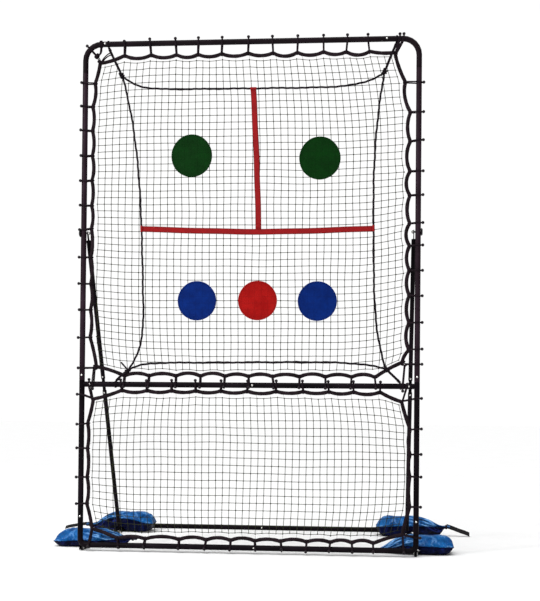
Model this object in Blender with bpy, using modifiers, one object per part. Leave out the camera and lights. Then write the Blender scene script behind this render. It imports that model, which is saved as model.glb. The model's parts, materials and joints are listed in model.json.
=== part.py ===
"""Pitch back rebounder: a steel tube frame with two nets, a folding base and sandbags.

Metres, +Z up, the player stands on the -Y side. The frame stands upright at FRAME_Y, tilts on its
two front corners, and is held by two telescoping braces. Every joint sits on its piece's origin.
"""

import math

import bmesh
import bpy
from mathutils import Matrix, Vector

# Tubes
TUBE_R = 0.010
TUBE_WALL = 0.0012
SPIGOT_R = 0.0084
BRACE_R = 0.0080
BRACE_SPIGOT_R = 0.0062
SIDES = 16
FLAT = math.cos(math.pi / SIDES)
SEAM_GAP = 0.0004
SPIGOT_LENGTH = 0.032
BUTTON_TO_SEAM = 0.018

# Frame, measured on the tube axes
UPRIGHT_X = 0.600
TOP_Z = 1.831
CROSSBAR_Z = 0.600
BOTTOM_Z = 0.022
TOP_BEND_R = 0.058
BOTTOM_BEND_R = 0.022
ELBOW_SEAM_Z = 1.726
TOP_SEAM_X = {-1: 0.510, 1: 0.468}
MID_SEAM_Z = 0.615
LOW_SEAM_Z = 0.143
CORNER_SEAM_X = 0.520
CROSSBAR_SEAM_X = 0.5892
STUB_END_X = 0.552
CROSSBAR_JOINT_X = 0.000
BOTTOM_JOINT_X = 0.012

# Base
REAR_SETBACK = 0.830
BASE_Z = TUBE_R * FLAT
BASE_BEND_R = 0.045
REAR_JOINT_X = -0.040
HINGE_SETBACK = 0.026
BUTTON_PROUD = 0.0023
FRAME_Y = -(REAR_SETBACK + TUBE_R * FLAT - TUBE_R - BUTTON_PROUD) / 2
REAR_Y = FRAME_Y + REAR_SETBACK
HINGE_Y = FRAME_Y + HINGE_SETBACK

# Braces
PIVOT_Z = 1.145
FOOT_SETBACK = 0.580
BRACE_X = 0.5852
TAB_THICKNESS = 0.003
BRACE_UPPER_END = 0.580
BRACE_LOWER_START = 0.632
BRACE_SPIGOT_TOP = 0.390
ADJUSTER_AT = 0.570
SLOT_HALF_LENGTH = 0.052
PIVOT = Vector((0, FRAME_Y, PIVOT_Z))
FOOT = Vector((0, FRAME_Y + FOOT_SETBACK, BASE_Z))
BRACE_LENGTH = (PIVOT - FOOT).length
BRACE_TURN = math.atan2(FOOT_SETBACK, PIVOT_Z - BASE_Z)

# Fasteners
FASTENER_SIDES = 8
STUD_R = 0.003
HOLE_CLEARANCE = 0.0004
FOOT_CLEARANCE = 0.0022
PIN_R = 0.0034
BUTTON_TRAVEL = 0.004

# Nets, cord, straps and targets, in the frame's own plane
ROPE_R = 0.005
NET_THICKNESS = 0.0016
NET_HALF_WIDTH = 0.570
NET_CORNER_R = 0.035
UPPER_NET_Z = (0.637, 1.788)
LOWER_NET_Z = (0.050, 0.574)
ZONE_CORD_R = 0.0022
ZONE_X = 0.470
ZONE_Z = (0.660, 1.712)
ZONE_SIDE_X = (-0.384, 0.444)
ZONE_WAIST_Z = (0.680, 1.660)
STRAP_WIDTH = 0.019
STRAP_THICKNESS = 0.0016
STRAP_X = 0.026
STRAP_Z = 1.152
TARGETS = {
    "target_green_left": (-0.208, 1.422, 0.074),
    "target_green_right": (0.252, 1.409, 0.074),
    "target_blue_left": (-0.184, 0.901, 0.070),
    "target_red": (0.034, 0.902, 0.070),
    "target_blue_right": (0.247, 0.900, 0.070),
}
TARGET_THICKNESS = 0.002
OFF_NET = NET_THICKNESS / 2 + 0.0004

# Sandbags: side, distance behind the frame, height
BAG_X = 0.597
BAG_HALF_LENGTH = 0.132
BAG_HALF_DEPTH = 0.068
BAGS = {
    "sandbag_front_left": (-1, 0.170, 0.060),
    "sandbag_front_right": (1, 0.130, 0.062),
    "sandbag_rear_left": (-1, 0.715, 0.076),
    "sandbag_rear_right": (1, 0.720, 0.076),
}
TAIL_REACH_X = 0.845
TAIL_WIDTH = 0.025
TAIL_THICKNESS = 0.002

SIDE_NAMES = {-1: "left", 1: "right"}
FRONT = Vector((0, -1, 0))


def clear_scene():
    for old in list(bpy.data.objects):
        bpy.data.objects.remove(old, do_unlink=True)


def new_collection(name):
    made = bpy.data.collections.new(name)
    bpy.context.scene.collection.children.link(made)
    return made


def new_material(name, colour, roughness, metallic=0.0):
    material = bpy.data.materials.new(name)
    material.use_nodes = True
    shader = material.node_tree.nodes["Principled BSDF"]
    shader.inputs["Base Color"].default_value = (*colour, 1)
    shader.inputs["Roughness"].default_value = roughness
    shader.inputs["Metallic"].default_value = metallic
    return material


clear_scene()
PARTS = new_collection("pitch_back_rebounder")
CUTTERS = new_collection("cutters")
CUTTERS.hide_render = True

LOOKS = {
    "tube": ((0.020, 0.014, 0.018), 0.35, 0.1),
    "steel": ((0.62, 0.62, 0.64), 0.25, 1.0),
    "knob": ((0.015, 0.015, 0.016), 0.5, 0.0),
    "rope": ((0.010, 0.010, 0.010), 0.8, 0.0),
    "net": ((0.045, 0.035, 0.025), 0.8, 0.0),
    "strap": ((0.36, 0.006, 0.010), 0.7, 0.0),
    "green": ((0.001, 0.048, 0.003), 0.7, 0.0),
    "blue": ((0.001, 0.018, 0.190), 0.7, 0.0),
    "red": ((0.430, 0.007, 0.006), 0.7, 0.0),
    "bag": ((0.008, 0.075, 0.330), 0.45, 0.0),
    "webbing": ((0.008, 0.008, 0.008), 0.8, 0.0),
}


def place(obj, look, cutter=False):
    """Links an object to its collection and gives it a material of its own."""
    if cutter:
        CUTTERS.objects.link(obj)
        obj.hide_render = True
        obj.display_type = "WIRE"
        return obj
    PARTS.objects.link(obj)
    obj.data.materials.clear()
    obj.data.materials.append(new_material(obj.name, *LOOKS[look]))
    return obj


def mesh_from(name, build):
    """A new mesh object from a function that fills a bmesh."""
    mesh = bpy.data.meshes.new(name)
    work = bmesh.new()
    build(work)
    bmesh.ops.recalc_face_normals(work, faces=work.faces)
    work.to_mesh(mesh)
    work.free()
    return bpy.data.objects.new(name, mesh)


def turned(name, profile, look=None, sides=SIDES, closed=False):
    """A profile of (radius, height) points turned about its own Z, with a flat facing each axis."""
    mesh = bpy.data.meshes.new(name)
    points = [(radius, 0, height) for radius, height in profile]
    edges = [(i, i + 1) for i in range(len(points) - 1)]
    if closed:
        edges.append((len(points) - 1, 0))
    mesh.from_pydata(points, edges, [])
    mesh.transform(Matrix.Rotation(math.pi / sides, 4, "Z"))
    obj = place(bpy.data.objects.new(name, mesh), look, cutter=look is None)
    screw = obj.modifiers.new("turn", "SCREW")
    screw.steps = screw.render_steps = sides
    screw.use_merge_vertices = True
    screw.merge_threshold = 0.00001
    return obj


def aim(obj, start, end):
    """Puts an object's origin at start and turns its +Z towards end."""
    direction = Vector(end) - Vector(start)
    obj.rotation_mode = "QUATERNION"
    obj.rotation_quaternion = direction.to_track_quat("Z", "Y")
    obj.location = start
    return obj


def tube_profile(length, socket_start, spigot_end, radius=TUBE_R, wall=TUBE_WALL):
    """Closed outline of a tube wall from 0 to length, with a thinner spigot past either end."""
    inner = radius - wall
    thin = SPIGOT_R
    thin_inner = SPIGOT_R - wall
    outer = []
    bore = []
    if spigot_end:
        outer += [(thin, length + SPIGOT_LENGTH), (thin, length), (radius, length)]
        bore += [(thin_inner, length + SPIGOT_LENGTH), (thin_inner, length - wall)]
        bore += [(inner, length - 2 * wall)]
    else:
        outer += [(radius, length)]
        bore += [(inner, length)]
    if socket_start:
        outer += [(radius, 0)]
        bore += [(inner, 0)]
    else:
        outer += [(radius, 0), (thin, 0), (thin, -SPIGOT_LENGTH)]
        bore += [(inner, 2 * wall), (thin_inner, wall), (thin_inner, -SPIGOT_LENGTH)]
    return outer + bore[::-1]


def straight_tube(name, start, end, spigot_start=False, spigot_end=False):
    """A hollow tube from seam to seam; a spigot end is swaged down and reaches past its seam."""
    start, end = Vector(start), Vector(end)
    along = (end - start).normalized()
    start = start + along * (SEAM_GAP if spigot_start else 0)
    end = end - along * (SEAM_GAP if spigot_end else 0)
    profile = tube_profile((end - start).length, not spigot_start, spigot_end)
    return aim(turned(name, profile, "tube", closed=True), start, end)


def arc_points(centre, radius, start_angle, end_angle, plane, steps=6):
    """Points of an arc; plane holds the two directions that its angles are counted in."""
    across, upward = plane
    points = []
    for i in range(steps + 1):
        angle = start_angle + (end_angle - start_angle) * i / steps
        points.append(
            Vector(centre) + across * radius * math.cos(angle) + upward * radius * math.sin(angle)
        )
    return points


def curve_object(name, points, radius, closed=False, caps=True, resolution=2, tilt=0.0):
    curve = bpy.data.curves.new(name, "CURVE")
    curve.dimensions = "3D"
    curve.bevel_depth = radius
    curve.bevel_resolution = resolution
    curve.use_fill_caps = caps and not closed
    spline = curve.splines.new("POLY")
    spline.points.add(len(points) - 1)
    for point, where in zip(spline.points, points):
        point.co = (*where, 1)
        point.tilt = tilt
    spline.use_cyclic_u = closed
    return bpy.data.objects.new(name, curve)


def as_mesh(obj):
    """Turns a curve into a welded mesh object, so that it can be shelled and cut."""
    CUTTERS.objects.link(obj)
    bpy.context.view_layer.update()
    graph = bpy.context.evaluated_depsgraph_get()
    mesh = bpy.data.meshes.new_from_object(obj.evaluated_get(graph))
    name, matrix = obj.name, obj.matrix_world.copy()
    bpy.data.objects.remove(obj, do_unlink=True)
    work = bmesh.new()
    work.from_mesh(mesh)
    bmesh.ops.remove_doubles(work, verts=work.verts, dist=0.00002)
    bmesh.ops.recalc_face_normals(work, faces=work.faces)
    work.to_mesh(mesh)
    work.free()
    made = bpy.data.objects.new(name, mesh)
    made.matrix_world = matrix
    return made


def bent_tube(name, points):
    """A hollow tube along the points, open at both ends."""
    curve = curve_object(name, points, TUBE_R, caps=False, resolution=6, tilt=math.pi / SIDES)
    tube = place(as_mesh(curve), "tube")
    tube.name = name
    shell = tube.modifiers.new("wall", "SOLIDIFY")
    shell.thickness = TUBE_WALL
    shell.offset = -1
    shell.use_rim = True
    return tube


def box(name, low, high, look=None):
    low, high = Vector(low), Vector(high)
    obj = mesh_from(name, lambda work: bmesh.ops.create_cube(work, size=1))
    obj.data.transform(Matrix.Translation((low + high) / 2) @ Matrix.Diagonal((*(high - low), 1)))
    return place(obj, look, cutter=look is None)


def drum(name, radius, start, end, look=None, sides=SIDES):
    """A solid cylinder from start to end."""
    length = (Vector(end) - Vector(start)).length
    profile = [(0, length), (radius, length), (radius, 0), (0, 0)]
    return aim(turned(name, profile, look, sides), start, end)


def combine(obj, other, operation):
    boolean = obj.modifiers.new(f"{operation.lower()}_{other.name}", "BOOLEAN")
    boolean.operation = operation
    boolean.solver = "EXACT"
    boolean.object = other


def cut(obj, cutter):
    combine(obj, cutter, "DIFFERENCE")


def fuse(obj, other):
    combine(obj, other, "UNION")


def snap_button(name, where, outward, tubes):
    """A domed steel button that stands out through the given tubes and is pressed inwards."""
    profile = [
        (0, BUTTON_PROUD),
        (PIN_R * 0.6, BUTTON_PROUD * 0.85),
        (PIN_R, BUTTON_PROUD * 0.3),
        (PIN_R, -0.0060),
        (0.0052, -0.0060),
        (0.0052, -0.0070),
        (0, -0.0070),
    ]
    centre = Vector(where)
    turned_button = turned(name, profile, "steel", FASTENER_SIDES)
    button = aim(turned_button, centre + outward * TUBE_R, centre + outward)
    hole = drum(
        f"{name}_hole",
        PIN_R + HOLE_CLEARANCE,
        centre + outward * 0.003,
        centre + outward * 0.014,
        sides=FASTENER_SIDES,
    )
    for tube in tubes:
        cut(tube, hole)
    return button


def build_frame():
    tubes = {}
    tubes["top_bar"] = straight_tube(
        "top_bar", (-TOP_SEAM_X[-1], FRAME_Y, TOP_Z), (TOP_SEAM_X[1], FRAME_Y, TOP_Z), True, True
    )
    tubes["crossbar_left"] = straight_tube(
        "crossbar_left",
        (-CROSSBAR_SEAM_X, FRAME_Y, CROSSBAR_Z),
        (CROSSBAR_JOINT_X, FRAME_Y, CROSSBAR_Z),
        False,
        True,
    )
    tubes["crossbar_right"] = straight_tube(
        "crossbar_right",
        (CROSSBAR_JOINT_X, FRAME_Y, CROSSBAR_Z),
        (CROSSBAR_SEAM_X, FRAME_Y, CROSSBAR_Z),
    )
    tubes["bottom_bar_left"] = straight_tube(
        "bottom_bar_left",
        (-CORNER_SEAM_X, FRAME_Y, BOTTOM_Z),
        (BOTTOM_JOINT_X, FRAME_Y, BOTTOM_Z),
        True,
        True,
    )
    tubes["bottom_bar_right"] = straight_tube(
        "bottom_bar_right",
        (BOTTOM_JOINT_X, FRAME_Y, BOTTOM_Z),
        (CORNER_SEAM_X, FRAME_Y, BOTTOM_Z),
        False,
        True,
    )
    for side, word in SIDE_NAMES.items():
        x = side * UPRIGHT_X
        tubes[f"upper_upright_{word}"] = straight_tube(
            f"upper_upright_{word}", (x, FRAME_Y, MID_SEAM_Z), (x, FRAME_Y, ELBOW_SEAM_Z), False, True
        )
        tubes[f"lower_upright_{word}"] = lower_upright(side, word)
        tubes[f"top_elbow_{word}"] = top_elbow(side, word)
        tubes[f"bottom_corner_{word}"] = bottom_corner(side, word)
    return tubes


def lower_upright(side, word):
    """The lower upright, with the stub that the crossbar slides over welded to its inner side."""
    x = side * UPRIGHT_X
    name = f"lower_upright_{word}"
    tube = straight_tube(name, (x, FRAME_Y, LOW_SEAM_Z), (x, FRAME_Y, MID_SEAM_Z), True, True)
    weld_x = UPRIGHT_X - 0.0055
    length = weld_x - STUB_END_X
    inner = SPIGOT_R - TUBE_WALL
    profile = [(SPIGOT_R, length), (SPIGOT_R, 0), (inner, 0), (inner, length)]
    stub = aim(
        turned(f"{name}_stub", profile, closed=True),
        (side * weld_x, FRAME_Y, CROSSBAR_Z),
        (0, FRAME_Y, CROSSBAR_Z),
    )
    fuse(tube, stub)
    return tube


def top_elbow(side, word):
    centre = Vector((side * (UPRIGHT_X - TOP_BEND_R), FRAME_Y, TOP_Z - TOP_BEND_R))
    plane = (Vector((side, 0, 0)), Vector((0, 0, 1)))
    points = [Vector((side * UPRIGHT_X, FRAME_Y, ELBOW_SEAM_Z))]
    points += arc_points(centre, TOP_BEND_R, 0, math.pi / 2, plane)
    points.append(Vector((side * TOP_SEAM_X[side], FRAME_Y, TOP_Z)))
    return bent_tube(f"top_elbow_{word}", points)


def bottom_corner(side, word):
    """A tight elbow with two lugs behind it that hold the base tube's flattened end."""
    centre = Vector((side * (UPRIGHT_X - BOTTOM_BEND_R), FRAME_Y, BOTTOM_Z + BOTTOM_BEND_R))
    plane = (Vector((side, 0, 0)), Vector((0, 0, 1)))
    points = [Vector((side * UPRIGHT_X, FRAME_Y, LOW_SEAM_Z))]
    points += arc_points(centre, BOTTOM_BEND_R, 0, -math.pi / 2, plane, steps=5)
    points.append(Vector((side * CORNER_SEAM_X, FRAME_Y, BOTTOM_Z)))
    corner = bent_tube(f"bottom_corner_{word}", points)
    hole = hinge_hole(f"hinge_hole_{word}", side)
    for edge, offset in (("inner", -0.0039), ("outer", 0.0039)):
        x = side * (UPRIGHT_X + offset)
        lug = box(
            f"lug_{edge}_{word}",
            (x - 0.001, FRAME_Y + 0.005, 0.003),
            (x + 0.001, FRAME_Y + 0.034, 0.036),
        )
        fuse(corner, lug)
    cut(corner, hole)
    return corner


def hinge_hole(name, side):
    x = side * UPRIGHT_X
    return drum(
        name,
        STUD_R + HOLE_CLEARANCE,
        (x - 0.008, HINGE_Y, BASE_Z),
        (x + 0.008, HINGE_Y, BASE_Z),
        sides=FASTENER_SIDES,
    )


def base_tube(side, word):
    """Side leg, rear corner and half of the rear bar, with a flattened tab at the front hinge."""
    centre = Vector((side * (UPRIGHT_X - BASE_BEND_R), REAR_Y - BASE_BEND_R, BASE_Z))
    plane = (Vector((side, 0, 0)), Vector((0, 1, 0)))
    leg_start = FRAME_Y + 0.055
    points = [Vector((side * UPRIGHT_X, leg_start, BASE_Z))]
    points += arc_points(centre, BASE_BEND_R, 0, math.pi / 2, plane)
    shoulder = -SEAM_GAP if side < 0 else 0
    points.append(Vector((REAR_JOINT_X + shoulder, REAR_Y, BASE_Z)))
    tube = bent_tube(f"base_tube_{word}", points)
    x = side * UPRIGHT_X
    tab = box(
        f"base_tab_{word}",
        (x - 0.0025, FRAME_Y + 0.016, 0.0005),
        (x + 0.0025, leg_start + 0.020, 2 * BASE_Z - 0.0005),
    )
    fuse(tube, tab)
    cut(tube, hinge_hole(f"base_hinge_hole_{word}", side))
    foot_hole = drum(
        f"foot_hole_{word}",
        STUD_R + HOLE_CLEARANCE,
        (x - 0.015, FOOT.y, BASE_Z),
        (x + 0.015, FOOT.y, BASE_Z),
        sides=FASTENER_SIDES,
    )
    cut(tube, foot_hole)
    if side < 0:
        fuse(tube, rear_spigot())
    return tube


def rear_spigot():
    """The thinner end of the left base tube that plugs into the right one."""
    neck, length = 0.020, SPIGOT_LENGTH
    thick, inner = 0.0094, SPIGOT_R - TUBE_WALL
    profile = [
        (SPIGOT_R, neck + length),
        (SPIGOT_R, neck),
        (thick, neck - 0.0005),
        (thick, 0),
        (inner, 0),
        (inner, neck + length),
    ]
    start = (REAR_JOINT_X - neck, REAR_Y, BASE_Z)
    return aim(turned("rear_spigot", profile, closed=True), start, (0, REAR_Y, BASE_Z))


def rivet(name, start, end, head_r):
    """A shank between two low heads; start and end are the outer faces of the joined stack."""
    head = 0.002
    gap = 0.0003
    length = (Vector(end) - Vector(start)).length
    top = length + gap
    profile = [
        (0, top + head),
        (head_r * 0.7, top + head),
        (head_r, top + head * 0.4),
        (head_r, top),
        (STUD_R, top),
        (STUD_R, -gap),
        (head_r, -gap),
        (head_r, -gap - head * 0.4),
        (head_r * 0.7, -gap - head),
        (0, -gap - head),
    ]
    return aim(turned(name, profile, "steel", FASTENER_SIDES), start, end)


def brace_point(side, distance):
    """The point of a brace's axis that far below its pivot."""
    along = (FOOT - PIVOT).normalized()
    return Vector((side * BRACE_X, 0, 0)) + PIVOT + along * distance


def brace_parts(side, word):
    """The two halves of a brace: a thin inner tube runs from the lower half up into the upper."""
    turn = (BRACE_TURN, 0, 0)
    upper_profile = hollow(BRACE_R, TUBE_WALL, -0.028, -BRACE_UPPER_END)
    upper = turned(f"brace_upper_{word}", upper_profile, "tube", closed=True)
    upper.location = brace_point(side, 0)
    upper.rotation_euler = turn
    fuse(upper, brace_tab(f"brace_top_tab_{word}", upper, 0.0, 0.046))
    cut(upper, brace_hole(f"brace_top_hole_{word}", upper, 0.0, STUD_R + HOLE_CLEARANCE))

    bore = BRACE_SPIGOT_R - 0.001
    start, end = -BRACE_LOWER_START, -(BRACE_LENGTH - 0.030)
    inner = BRACE_R - TUBE_WALL
    lower_profile = [
        (BRACE_SPIGOT_R, -BRACE_SPIGOT_TOP),
        (BRACE_SPIGOT_R, start),
        (BRACE_R, start),
        (BRACE_R, end),
        (inner, end),
        (inner, start - 0.040),
        (bore, start - 0.043),
        (bore, -BRACE_SPIGOT_TOP),
    ]
    lower = turned(f"brace_lower_{word}", lower_profile, "tube", closed=True)
    lower.location = brace_point(side, 0)
    lower.rotation_euler = turn
    fuse(lower, brace_tab(f"brace_foot_tab_{word}", lower, -BRACE_LENGTH, 0.046, up=True))
    foot_r = STUD_R + FOOT_CLEARANCE
    cut(lower, brace_hole(f"brace_foot_hole_{word}", lower, -BRACE_LENGTH, foot_r))
    slot = box(
        f"brace_slot_{word}",
        (-PIN_R - HOLE_CLEARANCE, -0.010, -ADJUSTER_AT - SLOT_HALF_LENGTH),
        (PIN_R + HOLE_CLEARANCE, -0.002, -ADJUSTER_AT + SLOT_HALF_LENGTH),
    )
    slot.location, slot.rotation_euler = lower.location, lower.rotation_euler
    cut(lower, slot)
    return upper, lower


def hollow(radius, wall, top, bottom):
    inner = radius - wall
    return [(radius, top), (radius, bottom), (inner, bottom), (inner, top)]


def brace_tab(name, tube, height, length, up=False):
    """A flattened end: a thin plate in the tube's middle plane with a round end at its hole."""
    half, width = TAB_THICKNESS / 2, 0.0152
    reach = length if up else -length

    def build(work):
        bmesh.ops.create_cube(work, size=1)
        matrix = Matrix.Translation((0, 0, height + reach / 2))
        matrix = matrix @ Matrix.Diagonal((2 * half, width, length, 1))
        bmesh.ops.transform(work, matrix=matrix, verts=work.verts)

    tab = place(mesh_from(name, build), None, cutter=True)
    eye = turned(f"{name}_eye", [(0, half), (width / 2, half), (width / 2, -half), (0, -half)])
    eye.rotation_mode = "QUATERNION"
    turn = tube.rotation_euler.to_quaternion()
    eye.rotation_quaternion = turn @ Vector((0, 0, 1)).rotation_difference(Vector((1, 0, 0)))
    eye.location = tube.location + turn @ Vector((0, 0, height))
    tab.location, tab.rotation_euler = tube.location, tube.rotation_euler
    fuse(tab, eye)
    return tab


def brace_hole(name, tube, height, radius):
    centre = tube.location + tube.rotation_euler.to_quaternion() @ Vector((0, 0, height))
    across = Vector((0.01, 0, 0))
    return drum(name, radius, centre - across, centre + across, sides=12)


def pivot_knob(side, word):
    """The knob outside the upright, in one piece with the stud that the brace swings on."""
    outer = UPRIGHT_X + TUBE_R
    stud_end = 0.577
    face = outer + 0.0004
    head_r, head = 0.013, 0.0055
    length = face - stud_end
    profile = [
        (0, length + head),
        (head_r * 0.75, length + head),
        (head_r, length + head * 0.6),
        (head_r, length),
        (STUD_R, length),
        (STUD_R, 0),
        (0, 0),
    ]
    knob = turned(f"pivot_knob_{word}", profile, "knob")
    return aim(knob, (side * stud_end, FRAME_Y, PIVOT_Z), (side * face, FRAME_Y, PIVOT_Z))


def pivot_nut(side, word):
    outer_r, bore_r = 0.0058, 0.0040
    low, high = 0.5787, 0.5832
    profile = [(outer_r, high - low), (outer_r, 0), (bore_r, 0), (bore_r, high - low)]
    nut = turned(f"pivot_nut_{word}", profile, "steel", 6, closed=True)
    return aim(nut, (side * low, FRAME_Y, PIVOT_Z), (side * high, FRAME_Y, PIVOT_Z))


def rounded_loop(half_width, low, high, corner, y, steps=4):
    """Points of an upright rounded rectangle, anticlockwise seen from the front."""
    points = []
    centres = [(1, high, 0), (-1, high, 1), (-1, low, 2), (1, low, 3)]
    plane = (Vector((1, 0, 0)), Vector((0, 0, 1)))
    for side, level, quarter in centres:
        z = level - corner if level == high else level + corner
        centre = Vector((side * (half_width - corner), y, z))
        start = quarter * math.pi / 2
        points += arc_points(centre, corner, start, start + math.pi / 2, plane, steps)
    return points


def edge_rope(name, heights):
    points = rounded_loop(NET_HALF_WIDTH, *heights, NET_CORNER_R, FRAME_Y)
    return place(curve_object(name, points, ROPE_R, closed=True), "rope")


def net_panel(name, heights):
    """The net as one thin panel inside its edge rope."""
    inset = ROPE_R + 0.0005
    outline = rounded_loop(
        NET_HALF_WIDTH - inset, heights[0] + inset, heights[1] - inset, NET_CORNER_R - inset, 0
    )
    curve = bpy.data.curves.new(name, "CURVE")
    curve.dimensions = "2D"
    curve.fill_mode = "BOTH"
    curve.extrude = NET_THICKNESS / 2
    spline = curve.splines.new("POLY")
    spline.points.add(len(outline) - 1)
    for point, where in zip(spline.points, outline):
        point.co = (where.x, where.z, 0, 1)
    spline.use_cyclic_u = True
    panel = bpy.data.objects.new(name, curve)
    panel.rotation_euler = (math.pi / 2, 0, 0)
    panel.location = (0, FRAME_Y, 0)
    return place(panel, "net")


def sagging_side(start, waist, end, steps=7):
    """Points from start towards end whose middle runs through waist, as a slack side does."""
    points = []
    for i in range(steps):
        t = i / steps
        pull = 1 - abs(2 * t - 1) ** 4
        straight = start.lerp(end, t)
        points.append(straight + (waist - start.lerp(end, 0.5)) * pull)
    return points


def zone_cord():
    """The strike zone's closed cord in front of the net, drawn out to its four corners."""
    y = FRAME_Y - OFF_NET - ZONE_CORD_R - 0.0002
    low, high = ZONE_Z
    corners = [(-ZONE_X, high), (ZONE_X, high), (ZONE_X, low), (-ZONE_X + 0.03, low)]
    corners = [Vector((x, y, z)) for x, z in corners]
    middle_z = (low + high) / 2
    waists = [
        Vector((0, y, ZONE_WAIST_Z[1])),
        Vector((ZONE_SIDE_X[1], y, middle_z)),
        Vector((0, y, ZONE_WAIST_Z[0])),
        Vector((ZONE_SIDE_X[0], y, middle_z)),
    ]
    points = []
    for i, waist in enumerate(waists):
        points += sagging_side(corners[i], waist, corners[(i + 1) % 4])
    return place(curve_object("strike_zone_cord", points, ZONE_CORD_R, closed=True), "rope")


def straps():
    """The two straps sewn on in front of the net, one across the strike zone and one above it."""
    y = FRAME_Y - OFF_NET
    half = STRAP_WIDTH / 2
    reach = ZONE_CORD_R + 0.0024
    box(
        "horizontal_strap",
        (ZONE_SIDE_X[0] + reach, y - STRAP_THICKNESS, STRAP_Z - half),
        (ZONE_SIDE_X[1] - reach, y, STRAP_Z + half),
        "strap",
    )
    box(
        "vertical_strap",
        (STRAP_X - half, y - STRAP_THICKNESS, STRAP_Z + half + 0.0005),
        (STRAP_X + half, y, ZONE_WAIST_Z[1] - reach),
        "strap",
    )


def targets():
    """The round cloth targets sewn on in front of the net."""
    y = FRAME_Y - OFF_NET
    for name, (x, z, radius) in TARGETS.items():
        look = name.split("_")[1]
        drum(name, radius, (x, y, z), (x, y - TARGET_THICKNESS, z), look, 32)


def sandbag(name, side, setback, height):
    """A filled bag with drawn-in ends and a flat underside, lying across a base tube."""
    middle = 0.42 * height

    def build(work):
        bmesh.ops.create_uvsphere(work, u_segments=16, v_segments=12, radius=1)
        bmesh.ops.rotate(work, matrix=Matrix.Rotation(math.pi / 2, 3, "Y"), verts=work.verts)
        for vertex in work.verts:
            along, across, up = vertex.co
            ring = math.hypot(across, up)
            full = max(1 - abs(along) ** 3, 0) ** 0.5 / ring if ring > 0.001 else 0
            across, up = across * full, up * full
            if up < 0:
                up = -middle * min(-up, 1) ** 0.6
            else:
                up = (height - middle) * up
            vertex.co = (along * BAG_HALF_LENGTH, across * BAG_HALF_DEPTH, middle + up)

    bag = place(mesh_from(name, build), "bag")
    y = FRAME_Y + setback
    bag.location = (side * BAG_X, y, 0.0002)
    channel = box(
        f"{name}_channel",
        (side * UPRIGHT_X - 0.0125, y - 0.1, -0.01),
        (side * UPRIGHT_X + 0.0125, y + 0.1, 2 * BASE_Z + 0.001),
    )
    cut(bag, channel)


def bag_tail(side, word):
    """The flat webbing end of a rear bag's tie, reaching outwards from the bag's tip."""
    setback, height = BAGS[f"sandbag_rear_{word}"][1:]
    start = Vector((side * (BAG_X + BAG_HALF_LENGTH + 0.001), FRAME_Y + setback, 0.42 * height))
    end = Vector((side * TAIL_REACH_X, FRAME_Y + setback, 0.010))
    tail = mesh_from(f"bag_tail_{word}", lambda work: bmesh.ops.create_cube(work, size=1))
    size = (TAIL_WIDTH, TAIL_THICKNESS, (end - start).length, 1)
    tail.data.transform(Matrix.Translation((0, 0, size[2] / 2)) @ Matrix.Diagonal(size))
    return place(aim(tail, start, end), "webbing")


def frame_buttons(tubes):
    """The snap buttons that lock the frame's push-fit joints, all facing forwards."""
    for side, word in SIDE_NAMES.items():
        x = side * UPRIGHT_X
        snap_button(
            f"top_button_{word}",
            (side * (TOP_SEAM_X[side] + BUTTON_TO_SEAM), FRAME_Y, TOP_Z),
            FRONT,
            (tubes["top_bar"], tubes[f"top_elbow_{word}"]),
        )
        snap_button(
            f"mid_button_{word}",
            (x, FRAME_Y, MID_SEAM_Z + BUTTON_TO_SEAM),
            FRONT,
            (tubes[f"upper_upright_{word}"], tubes[f"lower_upright_{word}"]),
        )
        snap_button(
            f"low_button_{word}",
            (x, FRAME_Y, LOW_SEAM_Z - BUTTON_TO_SEAM),
            FRONT,
            (tubes[f"bottom_corner_{word}"], tubes[f"lower_upright_{word}"]),
        )
        snap_button(
            f"crossbar_button_{word}",
            (side * (CROSSBAR_SEAM_X - BUTTON_TO_SEAM), FRAME_Y, CROSSBAR_Z),
            FRONT,
            (tubes[f"crossbar_{word}"], tubes[f"lower_upright_{word}"]),
        )
    snap_button(
        "crossbar_button_middle",
        (CROSSBAR_JOINT_X + BUTTON_TO_SEAM, FRAME_Y, CROSSBAR_Z),
        FRONT,
        (tubes["crossbar_left"], tubes["crossbar_right"]),
    )
    snap_button(
        "bottom_bar_button",
        (BOTTOM_JOINT_X + BUTTON_TO_SEAM, FRAME_Y, BOTTOM_Z),
        FRONT,
        (tubes["bottom_bar_left"], tubes["bottom_bar_right"]),
    )


def adjuster_button(side, word, upper):
    """The button of a brace's telescoping joint; it stands in the inner tube's slot."""
    pin_r, proud = PIN_R - 0.0002, 0.0020
    profile = [
        (0, proud),
        (pin_r * 0.6, proud * 0.85),
        (pin_r, proud * 0.3),
        (pin_r, -0.0066),
        (0.0042, -0.0066),
        (0.0042, -0.0074),
        (0, -0.0074),
    ]
    outward = upper.rotation_euler.to_quaternion() @ FRONT
    centre = brace_point(side, ADJUSTER_AT)
    name = f"brace_button_{word}"
    aim(turned(name, profile, "steel", FASTENER_SIDES), centre + outward * BRACE_R, centre + outward)
    hole = drum(
        f"{name}_hole",
        PIN_R + HOLE_CLEARANCE,
        centre + outward * 0.003,
        centre + outward * 0.012,
        sides=FASTENER_SIDES,
    )
    cut(upper, hole)


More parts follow.
